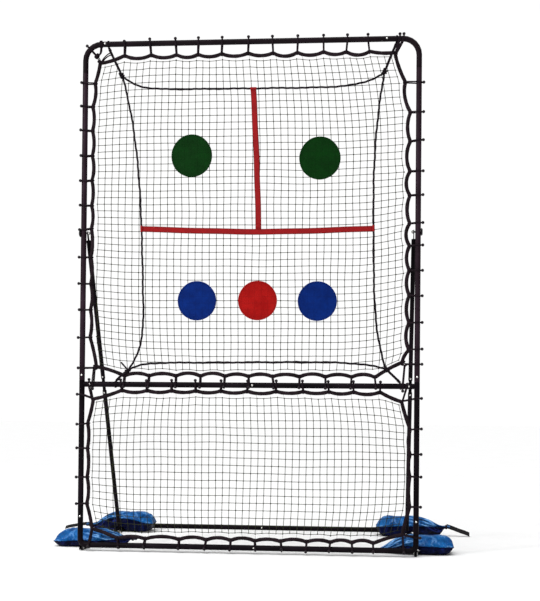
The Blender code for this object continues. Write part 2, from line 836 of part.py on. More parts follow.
def main():
    tubes = build_frame()
    frame_buttons(tubes)
    bases = {}
    for side, word in SIDE_NAMES.items():
        bases[side] = base_tube(side, word)
        x = side * UPRIGHT_X
        rivet(
            f"hinge_rivet_{word}",
            (x - 0.0049, HINGE_Y, BASE_Z),
            (x + 0.0049, HINGE_Y, BASE_Z),
            0.0055,
        )
        tab_face = BRACE_X - TAB_THICKNESS / 2
        rivet(
            f"foot_rivet_{word}",
            (side * tab_face, FOOT.y, BASE_Z),
            (side * (UPRIGHT_X + TUBE_R * FLAT), FOOT.y, BASE_Z),
            0.0068,
        )
        upper, _ = brace_parts(side, word)
        adjuster_button(side, word, upper)
        pivot_knob(side, word)
        pivot_nut(side, word)
        hole = drum(
            f"pivot_hole_{word}",
            STUD_R + HOLE_CLEARANCE,
            (x - 0.015, FRAME_Y, PIVOT_Z),
            (x + 0.015, FRAME_Y, PIVOT_Z),
            sides=FASTENER_SIDES,
        )
        cut(tubes[f"upper_upright_{word}"], hole)
        bag_tail(side, word)
    snap_button(
        "rear_bar_button",
        (REAR_JOINT_X + BUTTON_TO_SEAM, REAR_Y, BASE_Z),
        FRONT,
        (bases[-1], bases[1]),
    )
    edge_rope("upper_net_edge_rope", UPPER_NET_Z)
    edge_rope("lower_net_edge_rope", LOWER_NET_Z)
    net_panel("upper_net", UPPER_NET_Z)
    net_panel("lower_net", LOWER_NET_Z)
    zone_cord()
    straps()
    targets()
    for name, values in BAGS.items():
        sandbag(name, *values)


main()
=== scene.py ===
"""The looks of the pitch back rebounder: twine nets on lashed ropes, ball bungees, targets and sandbags."""

import json
import math

import bpy
import numpy as np
from mathutils import Matrix, Vector


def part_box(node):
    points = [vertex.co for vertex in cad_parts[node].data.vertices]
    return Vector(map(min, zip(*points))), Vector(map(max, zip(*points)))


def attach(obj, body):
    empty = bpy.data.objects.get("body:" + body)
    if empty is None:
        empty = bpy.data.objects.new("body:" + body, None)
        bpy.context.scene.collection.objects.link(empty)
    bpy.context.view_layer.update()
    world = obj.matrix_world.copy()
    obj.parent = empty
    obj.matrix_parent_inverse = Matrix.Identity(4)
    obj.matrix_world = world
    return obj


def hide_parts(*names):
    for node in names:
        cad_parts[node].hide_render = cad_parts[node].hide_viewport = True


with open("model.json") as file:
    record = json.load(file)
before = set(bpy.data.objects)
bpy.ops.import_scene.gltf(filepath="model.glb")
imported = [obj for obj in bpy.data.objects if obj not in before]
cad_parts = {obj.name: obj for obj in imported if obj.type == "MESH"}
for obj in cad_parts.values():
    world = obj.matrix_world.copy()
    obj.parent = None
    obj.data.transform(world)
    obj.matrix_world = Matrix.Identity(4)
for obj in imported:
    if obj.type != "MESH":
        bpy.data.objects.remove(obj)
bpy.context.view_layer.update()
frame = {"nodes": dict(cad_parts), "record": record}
cad = frame["nodes"]


def middle_of(name, axis):
    """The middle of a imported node's box on one axis."""
    low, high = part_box(name)
    return (low[axis] + high[axis]) / 2


# The frame's own lines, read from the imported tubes
FRONT_Y, TOP_Z = middle_of("top_bar", 1), middle_of("top_bar", 2)
CROSS_Z = middle_of("crossbar_left", 2)
TUBE_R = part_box("crossbar_left")[1].z - CROSS_Z
BOTTOM_Z = middle_of("bottom_bar_left", 2)
SIDE_X = middle_of("upper_upright_right", 0)
CORD_Y = middle_of("strike_zone_cord", 1)

# Radii of the round stock, the width of one mesh of the net, and the straps and stitches
BRACE_R = 0.0080
ROPE_R = 0.0066
TWINE_R = 0.0011
LASH_R = 0.0004
CELL = 0.0235
ELASTIC_R = 0.0018
CORD_R = 0.0036
LEAD_R = 0.0026
LACE_R = 0.0022
STRAP_WIDTH, STRAP_THICK = 0.0210, 0.0013
TAIL_WIDTH, TAIL_THICK = 0.025, 0.0018
STITCH, STITCH_GAP, STITCH_R = 0.0030, 0.0011, 0.00030
# How far the long stitch rows lie in from a strap's edge, and half the length of the rows across it
EDGE_INSET, CROSS_ROW = 0.0024, 0.0075

# The straps and targets lie just in front of the net
STRAP_Y = FRONT_Y - 0.0030
PATCH_Y = FRONT_Y - 0.0036
ACROSS, AWAY, UP = (1, 0, 0), (0, 1, 0), (0, 0, 1)

dice = np.random.default_rng(11)


# ---- mesh building


def linked(name, data):
    """A new object in the scene that holds the data."""
    thing = bpy.data.objects.new(name, data)
    bpy.context.scene.collection.objects.link(thing)
    return thing


class Shape:
    """Collects rings of points joined by four-cornered faces, then makes one piece of them."""

    def __init__(self):
        self.points, self.faces, self.places, self.count = [], [], [], 0

    def skin(self, rings, along, around=None, closed=False, flip=False):
        """Faces over rings of points; along and around are their texture places, ring and column."""
        count, sides = rings.shape[:2]
        around = np.arange(sides + 1) / sides if around is None else around
        ring = np.arange(count if closed else count - 1)
        r, s = (a.ravel()[:, None] for a in np.meshgrid(ring, np.arange(sides), indexing="ij"))
        r, s = r + [0, 1, 1, 0], s + [0, 0, 1, 1]
        if flip:
            r, s = r[:, ::-1], s[:, ::-1]
        self.points.append(rings.reshape(-1, 3))
        self.faces.append(r % count * sides + s % sides + self.count)
        self.places.append(np.stack([around[s], along[r]], axis=-1))
        self.count += count * sides

    def make(self, name, material, body, slot):
        mesh = bpy.data.meshes.new(name)
        points = np.concatenate(self.points)
        mesh.from_pydata(points.tolist(), [], np.concatenate(self.faces).tolist())
        layer = mesh.uv_layers.new(name="along")
        layer.data.foreach_set("uv", np.concatenate(self.places).ravel())
        mesh.polygons.foreach_set("use_smooth", [True] * len(mesh.polygons))
        mesh.materials.append(material)
        mesh.update()
        piece = linked(name, mesh)
        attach(piece, body)
        return piece


def lengths(path, closed=False):
    """How far along the path each point is, and the whole length."""
    ends = np.roll(path, -1, axis=0) if closed else path[1:]
    steps = np.linalg.norm(ends - path[: len(ends)], axis=1)
    return np.concatenate([[0], np.cumsum(steps)])


def sampled(at, along, points):
    """The path's points where along, a number for each of them, has the values at."""
    return np.stack([np.interp(at, along, points[:, k]) for k in range(3)], axis=-1)


def evenly(path, step, closed=False):
    """The path again with its points about step apart."""
    path = np.asarray(path, float)
    along = lengths(path, closed)
    if closed:
        path = np.vstack([path, path[:1]])
    count = max(int(round(along[-1] / step)), 2)
    points = sampled(np.linspace(0, along[-1], count + 1), along, path)
    return points[:-1] if closed else points


def softened(path, times, closed=False):
    """The path with its kinks rounded; its ends stay."""
    path = np.array(path, float)
    for _ in range(times):
        before, after = np.roll(path, 1, axis=0), np.roll(path, -1, axis=0)
        mean = (before + 2 * path + after) / 4
        if not closed:
            mean[0], mean[-1] = path[0], path[-1]
        path = mean
    return path


def directions(path, closed=False):
    """The path's unit direction at each point."""
    if closed:
        along = np.roll(path, -1, axis=0) - np.roll(path, 1, axis=0)
    else:
        along = np.gradient(path, axis=0)
    return along / np.maximum(np.linalg.norm(along, axis=1), 1e-9)[:, None]


def sweep(shape, path, radius, up, sides=8, closed=False, capped=False):
    """A round cord along the path. up is a direction that the path never runs along."""
    path = np.asarray(path, float)
    along = directions(path, closed)
    up = np.broadcast_to(np.asarray(up, float), path.shape)
    across = up - (up * along).sum(1)[:, None] * along
    across /= np.maximum(np.linalg.norm(across, axis=1), 1e-9)[:, None]
    other = np.cross(along, across)
    radius = np.broadcast_to(np.asarray(radius, float), len(path)).copy()
    at = lengths(path, closed)
    if capped:
        ends = [path[0] - along[0] * radius[0] * 0.5, path[-1] + along[-1] * radius[-1] * 0.5]
        path = np.vstack([ends[:1], path, ends[1:]])
        across = np.vstack([across[:1], across, across[-1:]])
        other = np.vstack([other[:1], other, other[-1:]])
        radius = np.concatenate([[radius[0] * 0.15], radius, [radius[-1] * 0.15]])
        at = np.concatenate([[-radius[1] / 2], at, [at[-1] + radius[-2] / 2]])
    turn = np.arange(sides) * 2 * math.pi / sides
    out = np.cos(turn)[:, None] * across[:, None] + np.sin(turn)[:, None] * other[:, None]
    rings = path[:, None] + radius[:, None, None] * out
    shape.skin(rings, at, closed=closed)


def lathe(shape, profile, base, axis, sides=12):
    """A turned shape: profile is (radius, height) pairs up the axis from base."""
    axis = Vector(axis).normalized()
    turn = Vector(UP).rotation_difference(axis).to_matrix()
    profile = np.asarray(profile, float)
    angle = np.arange(sides) * 2 * math.pi / sides
    radius, height = profile[:, :1], profile[:, 1:]
    rings = np.stack([radius * np.cos(angle), radius * np.sin(angle), height + 0 * angle], axis=-1)
    shape.skin(rings @ np.array(turn).T + np.array(base), lengths(profile))


# ---- materials


class Look:
    """One procedural material and short ways to wire its nodes."""

    def __init__(self, name, roughness=0.5, metallic=0.0, specular=0.5):
        self.material = bpy.data.materials.new(name)
        self.material.use_nodes = True
        self.tree = self.material.node_tree
        self.shader = self.tree.nodes["Principled BSDF"]
        self.shader.inputs["Roughness"].default_value = roughness
        self.shader.inputs["Metallic"].default_value = metallic
        self.shader.inputs["Specular IOR Level"].default_value = specular
        self.bumped = None

    def node(self, kind, sockets, **settings):
        """A new node with its settings, and its sockets joined or set in order or by name."""
        node = self.tree.nodes.new(kind)
        for key, value in settings.items():
            setattr(node, key, value)
        pairs = sockets.items() if isinstance(sockets, dict) else enumerate(sockets)
        for key, value in pairs:
            self.put(node.inputs[key], value)
        return node

    def put(self, socket, value):
        if isinstance(value, bpy.types.NodeSocket):
            self.tree.links.new(value, socket)
        elif hasattr(value, "__len__") and len(value) == 3 and socket.type == "RGBA":
            socket.default_value = (*value, 1)
        else:
            socket.default_value = value

    def place(self, scale=(1, 1, 1), kind="Object"):
        """Object coordinates in metres, or the mesh's own (around, along) places, scaled."""
        source = self.node("ShaderNodeTexCoord", ()).outputs[kind]
        return self.node("ShaderNodeMapping", {"Vector": source, "Scale": scale}).outputs["Vector"]

    def noise(self, scale, detail=3.0, roughness=0.55, where=None):
        sockets = {"Vector": where or self.place(), "Scale": scale}
        sockets.update(Detail=detail, Roughness=roughness)
        return self.node("ShaderNodeTexNoise", sockets).outputs["Fac"]

    def cells(self, scale):
        sockets = {"Vector": self.place(), "Scale": scale}
        return self.node("ShaderNodeTexVoronoi", sockets).outputs["Distance"]

    def math(self, operation, a, b=0.0, c=0.0):
        return self.node("ShaderNodeMath", (a, b, c), operation=operation).outputs[0]

    def times(self, a, b):
        return self.math("MULTIPLY", a, b)

    def wave(self, value, length):
        """A sine along value that repeats every length."""
        return self.math("SINE", self.times(value, 2 * math.pi / length))

    def crossed(self, warp, weft):
        """Two sines as one weave, from 0 to 1."""
        return self.math("MULTIPLY_ADD", self.times(warp, weft), 0.5, 0.5)

    def parts(self, vector):
        return self.node("ShaderNodeSeparateXYZ", (vector,)).outputs

    def ramp(self, value, low, high, start=0.0, end=1.0):
        """value from low..high carried to start..end, and held there outside."""
        numbers = (value, low, high, start, end)
        return self.node("ShaderNodeMapRange", numbers, interpolation_type="SMOOTHSTEP").outputs[0]

    def mix(self, share, a, b):
        # The mix node keeps its two colours in sockets 6 and 7 and gives a colour in output 2
        return self.node("ShaderNodeMix", {0: share, 6: a, 7: b}, data_type="RGBA").outputs[2]

    def bump(self, height, strength, distance):
        sockets = {"Strength": strength, "Distance": distance, "Height": height}
        if self.bumped:
            sockets["Normal"] = self.bumped
        self.bumped = self.node("ShaderNodeBump", sockets).outputs["Normal"]
        self.put(self.shader.inputs["Normal"], self.bumped)

    def finish(self, colour, roughness=None):
        self.put(self.shader.inputs["Base Color"], colour)
        if roughness is not None:
            self.put(self.shader.inputs["Roughness"], roughness)
        return self.material


def scaled(colour, by, more=0.0):
    """The colour made lighter or darker."""
    return [by * c + more for c in colour]


def powder_coat(name, dark, light, specular):
    """Baked powder coat on steel tube: fine orange peel, a dusty bloom and small worn chips."""
    look = Look(name, specular=specular)
    broad = look.noise(7, 4)
    bloom = look.noise(55, 5, 0.7)
    colour = look.mix(look.ramp(broad, 0.35, 0.68), dark, light)
    dusty = look.times(look.ramp(bloom, 0.56, 0.74), 0.35)
    colour = look.mix(dusty, colour, scaled(light, 1.3, 0.004))
    chips = look.math("LESS_THAN", look.cells(95), 0.045)
    chips = look.times(chips, look.math("GREATER_THAN", look.noise(24, 2), 0.60))
    colour = look.mix(look.times(chips, 0.5), colour, (0.16, 0.15, 0.15))
    look.bump(look.noise(950, 2), 0.10, 0.0004)
    look.bump(look.noise(120, 2), 0.06, 0.0008)
    return look.finish(colour, look.ramp(bloom, 0.3, 0.75, 0.36, 0.56))


def plated_steel(name):
    """Zinc plated steel with fine turning marks and dull patches."""
    look = Look(name, metallic=1.0)
    patches = look.noise(420, 4, 0.7)
    colour = look.mix(look.ramp(patches, 0.35, 0.7), (0.62, 0.61, 0.58), (0.86, 0.85, 0.83))
    look.bump(look.noise(2600, 2, where=look.place((1, 1, 6))), 0.12, 0.0003)
    return look.finish(colour, look.ramp(patches, 0.3, 0.7, 0.22, 0.42))


def moulded(name, dark, light, rough=0.5):
    """Moulded plastic with a fine spark-eroded grain."""
    look = Look(name, specular=0.16)
    tone = look.noise(60, 3)
    grain = look.noise(1900, 2)
    look.bump(grain, 0.22, 0.0003)
    colour = look.mix(look.ramp(tone, 0.3, 0.7), dark, light)
    return look.finish(colour, look.ramp(grain, 0.3, 0.7, rough - 0.1, rough + 0.12))


def braid(name, dark, light, strands, pitch, rough=0.75):
    """A braided sleeve: strands that wind both ways round the cord, with painted shade in the grooves
    between them and a soft fuzz.
    """
    look = Look(name, specular=0.08)
    around, along, _ = look.parts(look.place(kind="UV"))
    turn = look.times(around, 2 * math.pi * strands)
    run = look.times(along, 2 * math.pi / pitch)
    ribs = look.math("MAXIMUM", *(
        look.math("MULTIPLY_ADD", look.math("SINE", look.math(way, turn, run)), 0.5, 0.5)
        for way in ("ADD", "SUBTRACT")
    ))
    fuzz = look.noise(900, 3)
    tone = look.noise(30, 4, 0.65)
    colour = look.mix(look.ramp(tone, 0.3, 0.7), dark, light)
    # Painted shade: the grooves between the strands are darkened.
    colour = look.mix(look.ramp(ribs, 0.45, 1.0, 0.55, 0.0), colour, scaled(dark, 0.35))
    look.bump(ribs, 0.7, 0.0005)
    look.bump(fuzz, 0.25, 0.0003)
    return look.finish(colour, look.ramp(fuzz, 0.3, 0.7, rough - 0.08, rough + 0.1))


def webbing(name, dark, light):
    """Flat woven webbing: ribs across its width, finer warp lines along it, painted shade in the weave's
    hollows and darker bands along both edges.
    """
    look = Look(name, specular=0.12)
    look.shader.inputs["Sheen Weight"].default_value = 0.04
    around, along, _ = look.parts(look.place(kind="UV"))
    rib, threads = 0.0016, 34
    ribs = look.math("MULTIPLY_ADD", look.wave(along, rib), 0.5, 0.5)
    warp = look.math("MULTIPLY_ADD", look.wave(around, 1 / threads), 0.5, 0.5)
    weave = look.times(warp, ribs)
    tone = look.noise(40, 4, 0.7)
    colour = look.mix(look.ramp(tone, 0.28, 0.72), dark, light)
    # Painted shade: the low spots of the weave, between the ribs and warp lines, are darkened.
    colour = look.mix(look.ramp(weave, 0.0, 0.8, 0.45, 0.0), colour, scaled(dark, 0.5))
    # Darker towards both edges of the strap.
    edge_darkening = look.ramp(look.math("ABSOLUTE", look.math("ADD", around, -0.5)), 0.32, 0.47)
    colour = look.mix(look.times(edge_darkening, 0.6), colour, scaled(dark, 0.3))
    look.bump(weave, 0.6, 0.0004)
    return look.finish(colour, look.ramp(tone, 0.3, 0.7, 0.62, 0.8))


def coated_cloth(name, dark, light):
    """Plain weave cloth with a thin coating: scuffs, soft creases and the net's meshes pressing through,
    with painted shade along the pressed lines.
    """
    look = Look(name, specular=0.05)
    x, _, z = look.parts(look.place())
    thread = 0.0009
    weave = look.crossed(look.wave(x, thread), look.wave(z, thread))
    tone = look.noise(22, 5, 0.65)
    scuffs = look.noise(160, 4, 0.75, look.place((1, 1, 3)))
    colour = look.mix(look.ramp(tone, 0.3, 0.7), dark, light)
    colour = look.mix(look.times(weave, 0.22), colour, scaled(dark, 0.6))
    colour = look.mix(look.ramp(scuffs, 0.6, 0.85, 0, 0.25), colour, scaled(light, 1.3, 0.003))
    meshes = [look.math("ABSOLUTE", look.wave(v, 2 * CELL)) for v in (x, z)]
    ridges = look.ramp(look.math("MINIMUM", *meshes), 0.0, 0.16, 1.0, 0.0)
    # Painted shade: the cloth is darkened along the lines where the net's meshes press through.
    colour = look.mix(look.times(ridges, 0.30), colour, scaled(dark, 0.4))
    look.bump(ridges, 0.3, 0.0012)
    look.bump(weave, 0.35, 0.0003)
    look.bump(look.noise(45, 3), 0.25, 0.0015)
    return look.finish(colour, look.ramp(scuffs, 0.3, 0.75, 0.44, 0.64))


def bag_cloth(name, dark, light, painted_highlight, gloss):
    """Coated nylon: fine weave and scuffs, with deep gathers out from the neck and creases at the end, each
    with painted shade in its valleys and a painted highlight on its ridges.
    """
    look = Look(name, specular=0.1 * gloss)
    look.shader.inputs["Coat Weight"].default_value = 0.08 * gloss
    look.shader.inputs["Coat Roughness"].default_value = 0.12
    x, y, z = look.parts(look.place())
    thread = 0.0011
    warp = look.wave(look.math("ADD", x, z), thread)
    weft = look.wave(look.math("SUBTRACT", y, z), thread)
    weave = look.crossed(warp, weft)
    around, along = look.parts(look.place(kind="UV"))[:2]
    wander = look.noise(1, 3, 0.5, look.place((13, 3.2, 1), "UV"))
    turn = look.math("ADD", look.times(around, 12), look.times(along, 5))
    turn = look.math("ADD", turn, look.times(wander, 1.6))
    gathers = look.math("MULTIPLY_ADD", look.wave(turn, 1), 0.11, wander)
    near_neck = look.ramp(along, 0.40, 0.70, 1.0, 0.0)
    creases = look.noise(1, 3, 0.55, look.place((9, 17, 1), "UV"))
    near_end = look.ramp(along, 0.55, 0.95, 0.35, 1.0)
    tone = look.noise(26, 5, 0.6)
    scuffs = look.noise(260, 4, 0.75)
    colour = look.mix(look.ramp(tone, 0.3, 0.7), dark, light)
    # Painted shade in the fold valleys and a painted highlight on the fold ridges, over the folds' bump.
    for folds, share, depth in ((gathers, near_neck, 1.0), (creases, near_end, 0.40)):
        deep = look.times(share, depth)
        painted_valley_shade = look.ramp(folds, 0.36, 0.50, 1.0, 0.0)
        colour = look.mix(look.times(painted_valley_shade, deep), colour, scaled(dark, 0.25))
        painted_ridge_highlight = look.times(look.ramp(folds, 0.54, 0.61), look.ramp(folds, 0.62, 0.70, 1.0, 0.0))
        colour = look.mix(look.times(painted_ridge_highlight, deep), colour, painted_highlight)
        look.bump(look.times(folds, share), 0.8, 0.014)
    colour = look.mix(look.ramp(scuffs, 0.62, 0.85, 0, 0.25), colour, scaled(light, 1.2, 0.004))
    look.bump(weave, 0.2, 0.0002)
    return look.finish(colour, look.ramp(scuffs, 0.3, 0.75, 0.34, 0.52))


TUBE = powder_coat("black_powder_coat", (0.013, 0.006, 0.010), (0.024, 0.012, 0.020), 0.08)
# Darker copies of the same black powder coat, for the top bar and for the base, lower tubes, braces and
# crossbars: painted shade.
TOP_TUBE_PAINTED_SHADE = powder_coat("black_powder_coat_top", (0.005, 0.003, 0.004), (0.011, 0.006, 0.009), 0.05)
LOW_TUBE_PAINTED_SHADE = powder_coat("black_powder_coat_low_painted_shade", (0.003, 0.002, 0.003), (0.008, 0.005, 0.008), 0.035)
STEEL = plated_steel("zinc_plated_steel")
KNOB = moulded("moulded_black_plastic", (0.006, 0.005, 0.006), (0.014, 0.012, 0.013))
BALL = moulded("bungee_ball_plastic", (0.006, 0.004, 0.006), (0.014, 0.009, 0.013), 0.42)
ROPE = braid("edge_rope_braid", (0.008, 0.004, 0.006), (0.020, 0.011, 0.016), 8, 0.011)
ELASTIC = braid("bungee_braid", (0.009, 0.005, 0.008), (0.020, 0.012, 0.017), 6, 0.005)
CORD = braid("zone_cord_braid", (0.006, 0.004, 0.006), (0.014, 0.009, 0.013), 6, 0.005)
TWINE = braid("net_twine", (0.014, 0.016, 0.006), (0.036, 0.040, 0.018), 3, 0.006, 0.68)
RED_WEBBING = webbing("red_webbing", (0.270, 0.004, 0.006), (0.370, 0.008, 0.010))
BLACK_WEBBING = webbing("black_webbing", (0.004, 0.004, 0.005), (0.012, 0.011, 0.012))
THREAD_RED = braid("red_thread", (0.300, 0.006, 0.008), (0.420, 0.012, 0.014), 3, 0.002)
# The third colour of each bag cloth is the painted highlight on its fold ridges.
BAG_TOP = bag_cloth(
    "bag_upper_cloth", (0.0015, 0.060, 0.230), (0.006, 0.125, 0.390), (0.22, 0.48, 0.88), 0.8
)
# The lower panel's cloth is a darker, duller copy of the upper one: painted shade on the bag's underside.
BAG_UNDER_PAINTED_SHADE = bag_cloth(
    "bag_lower_cloth_painted_shade", (0.0003, 0.001, 0.014), (0.0008, 0.003, 0.034), (0.01, 0.02, 0.14), 0.4
)
CLOTHS = {
    "green": coated_cloth("green_patch_cloth", (0.0002, 0.019, 0.001), (0.0006, 0.030, 0.002)),
    "blue": coated_cloth("blue_patch_cloth", (0.0004, 0.012, 0.110), (0.001, 0.020, 0.165)),
    "red": coated_cloth("red_patch_cloth", (0.270, 0.003, 0.003), (0.360, 0.006, 0.005)),
}
THREADS = {
    "green": braid("green_thread", (0.003, 0.035, 0.007), (0.006, 0.055, 0.012), 3, 0.002),
    "blue": braid("blue_thread", (0.003, 0.014, 0.120), (0.006, 0.022, 0.180), 3, 0.002),
    "red": THREAD_RED,
}


# ---- the tubes, buttons and knobs


def dress_frame():
    """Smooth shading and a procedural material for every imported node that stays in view."""
    for name, node in cad.items():
        slot = next(s["material_slot"] for s in frame["record"]["subparts"] if s["node"] == name)
        # The top bar and the base, lower tubes, braces and crossbars take the darker copies of the coat:
        # painted shade.
        coat = TOP_TUBE_PAINTED_SHADE if name.startswith("top_") else TUBE
        if name.startswith(("base_", "lower_", "bottom_", "brace_", "crossbar")):
            coat = LOW_TUBE_PAINTED_SHADE
        looks = {"tube": coat, "steel": STEEL, "knob": KNOB}
        if slot not in looks:
            continue
        for index in range(len(node.data.materials)):
            node.data.materials[index] = looks[slot]
        if "custom_normal" in node.data.attributes:
            node.data.attributes.remove(node.data.attributes["custom_normal"])
        node.data.polygons.foreach_set("use_smooth", [True] * len(node.data.polygons))
        node.modifiers.new("joined", "WELD").merge_threshold = 0.00002
        node.modifiers.new("creases", "EDGE_SPLIT").split_angle = math.radians(38)


RIVET_BELOW_BUTTON = 0.068
RIVET_PROFILE = [(0.0, 0.0), (0.0034, 0.0), (0.0034, 0.0012), (0.0026, 0.0022), (0.0, 0.0027)]


def brace_rivets():
    """A steel rivet below the button on each brace's lower half."""
    for word in ("left", "right"):
        tube = cad[f"brace_lower_{word}"]
        points = np.array([tube.matrix_world @ v.co for v in tube.data.vertices])
        middle = points.mean(axis=0)
        line = np.linalg.svd(points - middle, full_matrices=False)[2][0]
        line *= -np.sign(line[2])
        low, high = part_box(f"brace_button_{word}")
        button = np.array((low + high) / 2)
        axis_point = middle + line * ((button - middle) @ line)
        out = np.cross(line, (1, 0, 0))
        out *= -np.sign(out[1]) / np.linalg.norm(out)
        shape = Shape()
        seat = axis_point + line * RIVET_BELOW_BUTTON + out * (BRACE_R - 0.0010)
        lathe(shape, RIVET_PROFILE, seat, out, 14)
        shape.make(f"brace_rivet_{word}", STEEL, f"brace_lower_{word}_body", "steel")


# ---- ropes and nets


END_SLACK = 0.4
NARROW_MESH = 0.72
SIDES = ("top", "right", "bottom", "left")
CORNERS = ("top_left", "top_right", "bottom_right", "bottom_left")


def tied_side(start, ties, end, sag):
    """A rope from corner to corner through its ties, bowed by sag (a vector) between each two."""
    stops = np.vstack([start, ties, end])
    path = []
    for i, (a, b) in enumerate(zip(stops[:-1], stops[1:])):
        outer = i in (0, len(stops) - 2)
        pull = np.asarray(sag) * (END_SLACK if outer else 0.85 + 0.3 * dice.random())
        t = np.linspace(0, 1, 24, endpoint=False)[:, None]
        path.append(a + (b - a) * t + pull * (4 * t * (1 - t)) ** 0.8)
    return np.vstack([*path, stops[-1:]])


class NetEdge:
    """The closed rope round one net: four tied sides that meet at four corners, from top left."""

    def __init__(self, corners, ties, sags):
        self.corners, self.ties = dict(zip(CORNERS, corners)), ties
        self.sides = {}
        for i, name in enumerate(SIDES):
            start, end = corners[i], corners[(i + 1) % 4]
            self.sides[name] = tied_side(start, ties[name], end, sags[name])
        self.path = evenly(np.vstack([self.sides[n][:-1] for n in SIDES]), 0.004, closed=True)
        self.path = softened(self.path, 2, closed=True)

    def rope(self, name, stands_for):
        """The rope itself, a little uneven in thickness."""
        count = len(self.path)
        s = np.arange(count) / count * 2 * math.pi
        lumps = sum(
            0.02 * np.sin(k * s + phase)
            for k, phase in zip((37, 61, 113, 171), dice.random(4) * 6.28)
        )
        shape = Shape()
        sweep(shape, self.path, ROPE_R * (1 + lumps), AWAY, 12, closed=True)
        rope = shape.make(name, ROPE, "frame", "rope")
        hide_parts(stands_for)


def mesh_shares(count):
    """Where the twines cross a side, from 0 to 1; the meshes beside the rope are narrower."""
    steps = np.ones(count - 1)
    steps[[0, -1]] = NARROW_MESH
    return np.concatenate([[0], np.cumsum(steps)]) / steps.sum()


def net_points(edge, columns, rows):
    """Where each knot of the net is: the rope's outline carried inwards, fading to an even grid."""
    fine = np.linspace(0, 1, 401)
    u, v = mesh_shares(columns), mesh_shares(rows)
    calm, stray = {}, {}
    for name, path in edge.sides.items():
        path = path[::-1] if name in ("bottom", "left") else path
        run = lengths(path)
        real = sampled(fine * run[-1], run, path)
        at = u if name in ("top", "bottom") else v
        calm[name] = sampled(at, fine, softened(real, 2600))
        stray[name] = sampled(at, fine, real) - calm[name]
    top, right, bottom, left = (calm[name] for name in SIDES)
    U, V = u[None, :, None], v[:, None, None]
    grid = (1 - V) * top[None] + V * bottom[None] + (1 - U) * left[:, None] + U * right[:, None]
    grid -= (1 - U) * (1 - V) * top[0] + U * (1 - V) * top[-1]
    grid -= (1 - U) * V * bottom[0] + U * V * bottom[-1]
    width = np.linalg.norm(top[-1] - top[0])
    height = np.linalg.norm(left[-1] - left[0])
    fade = 0.030
    grid += stray["top"][None] * np.exp(-V * height / fade)
    grid += stray["bottom"][None] * np.exp(-(1 - V) * height / fade)
    grid += stray["left"][:, None] * np.exp(-U * width / fade)
    grid += stray["right"][:, None] * np.exp(-(1 - U) * width / fade)
    return grid


def wander(size, reach, passes):
    """Smooth random offsets for a grid of knots."""
    field = dice.normal(size=(*size, 2))
    for _ in range(passes):
        padded = np.pad(field, ((1, 1), (1, 1), (0, 0)), mode="edge")
        beside = padded[:-2, 1:-1] + padded[2:, 1:-1] + padded[1:-1, :-2] + padded[1:-1, 2:]
        field = (beside + field) / 5
    return field / np.abs(field).max() * reach


# This much of the twines' skin, and at least this much of its outline
NET_KNOT = [(0.0, -0.0029), (0.0022, -0.0013), (0.0022, 0.0013), (0.0, 0.0029)]


def net(name, edge, stands_for):
    """Square-mesh netting: each twine is a round thread, with a small knot at each crossing."""
    top, left = edge.sides["top"], edge.sides["left"]
    columns = int(round(abs(top[-1, 0] - top[0, 0]) / CELL)) + 1
    rows = int(round(abs(left[-1, 2] - left[0, 2]) / CELL)) + 1
    grid = net_points(edge, columns, rows)
    drift = wander((rows, columns), 0.0045, 14) + wander((rows, columns), 0.0016, 2)
    grid[1:-1, 1:-1, [0, 2]] += drift[1:-1, 1:-1]
    shape = Shape()
    # Upright twines pass just behind the level ones
    for lines, step in ((grid.swapaxes(0, 1), 0.0003), (grid, -0.0003)):
        for knots in lines[1:-1, 1:-1]:
            sweep(shape, softened(evenly(knots, CELL / 2), 1) + [0, step, 0], TWINE_R, AWAY, 5)
    for j in range(1, rows - 1):
        for i in range(1, columns - 1):
            lean = (0.7, 0.0, 0.7) if (i + j) % 2 else (-0.7, 0.0, 0.7)
            lathe(shape, NET_KNOT, grid[j, i], lean, 5)
    piece = shape.make(name, TWINE, "frame", "net")
    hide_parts(stands_for)
    lashing = Shape()
    borders = (
        (grid[0, 1:-1], grid[1, 1:-1]), (grid[-1, 1:-1], grid[-2, 1:-1]),
        (grid[1:-1, 0], grid[1:-1, 1]), (grid[1:-1, -1], grid[1:-1, -2]),
    )
    for line, knots in borders:
        for k, (point, way, inner) in enumerate(zip(line, directions(line), knots)):
            if k % 2 == 0:
                hitch(lashing, point, way, ROPE_R + LASH_R, LASH_R)
                sweep(lashing, np.linspace(point, inner, 5), LASH_R, AWAY, 5, capped=True)
    loops = lashing.make(f"{name}_lashing", TWINE, "frame", "net")


def round_way(way, angle):
    """Directions round a line that lies in the frame's plane, one for each angle."""
    return np.cos(angle)[:, None] * np.array(AWAY) + np.sin(angle)[:, None] * np.cross(way, AWAY)


def hitch(shape, centre, way, radius, thick, sides=4, count=10):
    """One turn of thread round a rope that runs along way at centre."""
    turn = np.arange(count) * 2 * math.pi / count
    sweep(shape, centre + radius * round_way(way, turn), thick, way, sides, closed=True)


# ---- ball bungees


def belt(circles, count=30):
    """A tight loop round circles (centre along, centre up, radius), as points in that plane."""
    points = []
    for angle in np.linspace(0, 2 * math.pi, count, endpoint=False):
        n = np.array([math.cos(angle), math.sin(angle)])
        reach = [c[0] * n[0] + c[1] * n[1] + c[2] for c in circles]
        a, b, r = circles[int(np.argmax(reach))]
        points.append((a + r * n[0], b + r * n[1]))
    return np.array(points)


BALL_PROFILE = [
    (0.0, -0.0064), (0.0024, -0.0062), (0.0027, -0.0048), (0.0044, -0.0036), (0.0054, -0.0014),
    (0.0057, 0.0), (0.0054, 0.0016), (0.0044, 0.0035), (0.0026, 0.0048), (0.0011, 0.0052), (0.0, 0.0048),
]
BALL_SEAT = TUBE_R + 0.0072


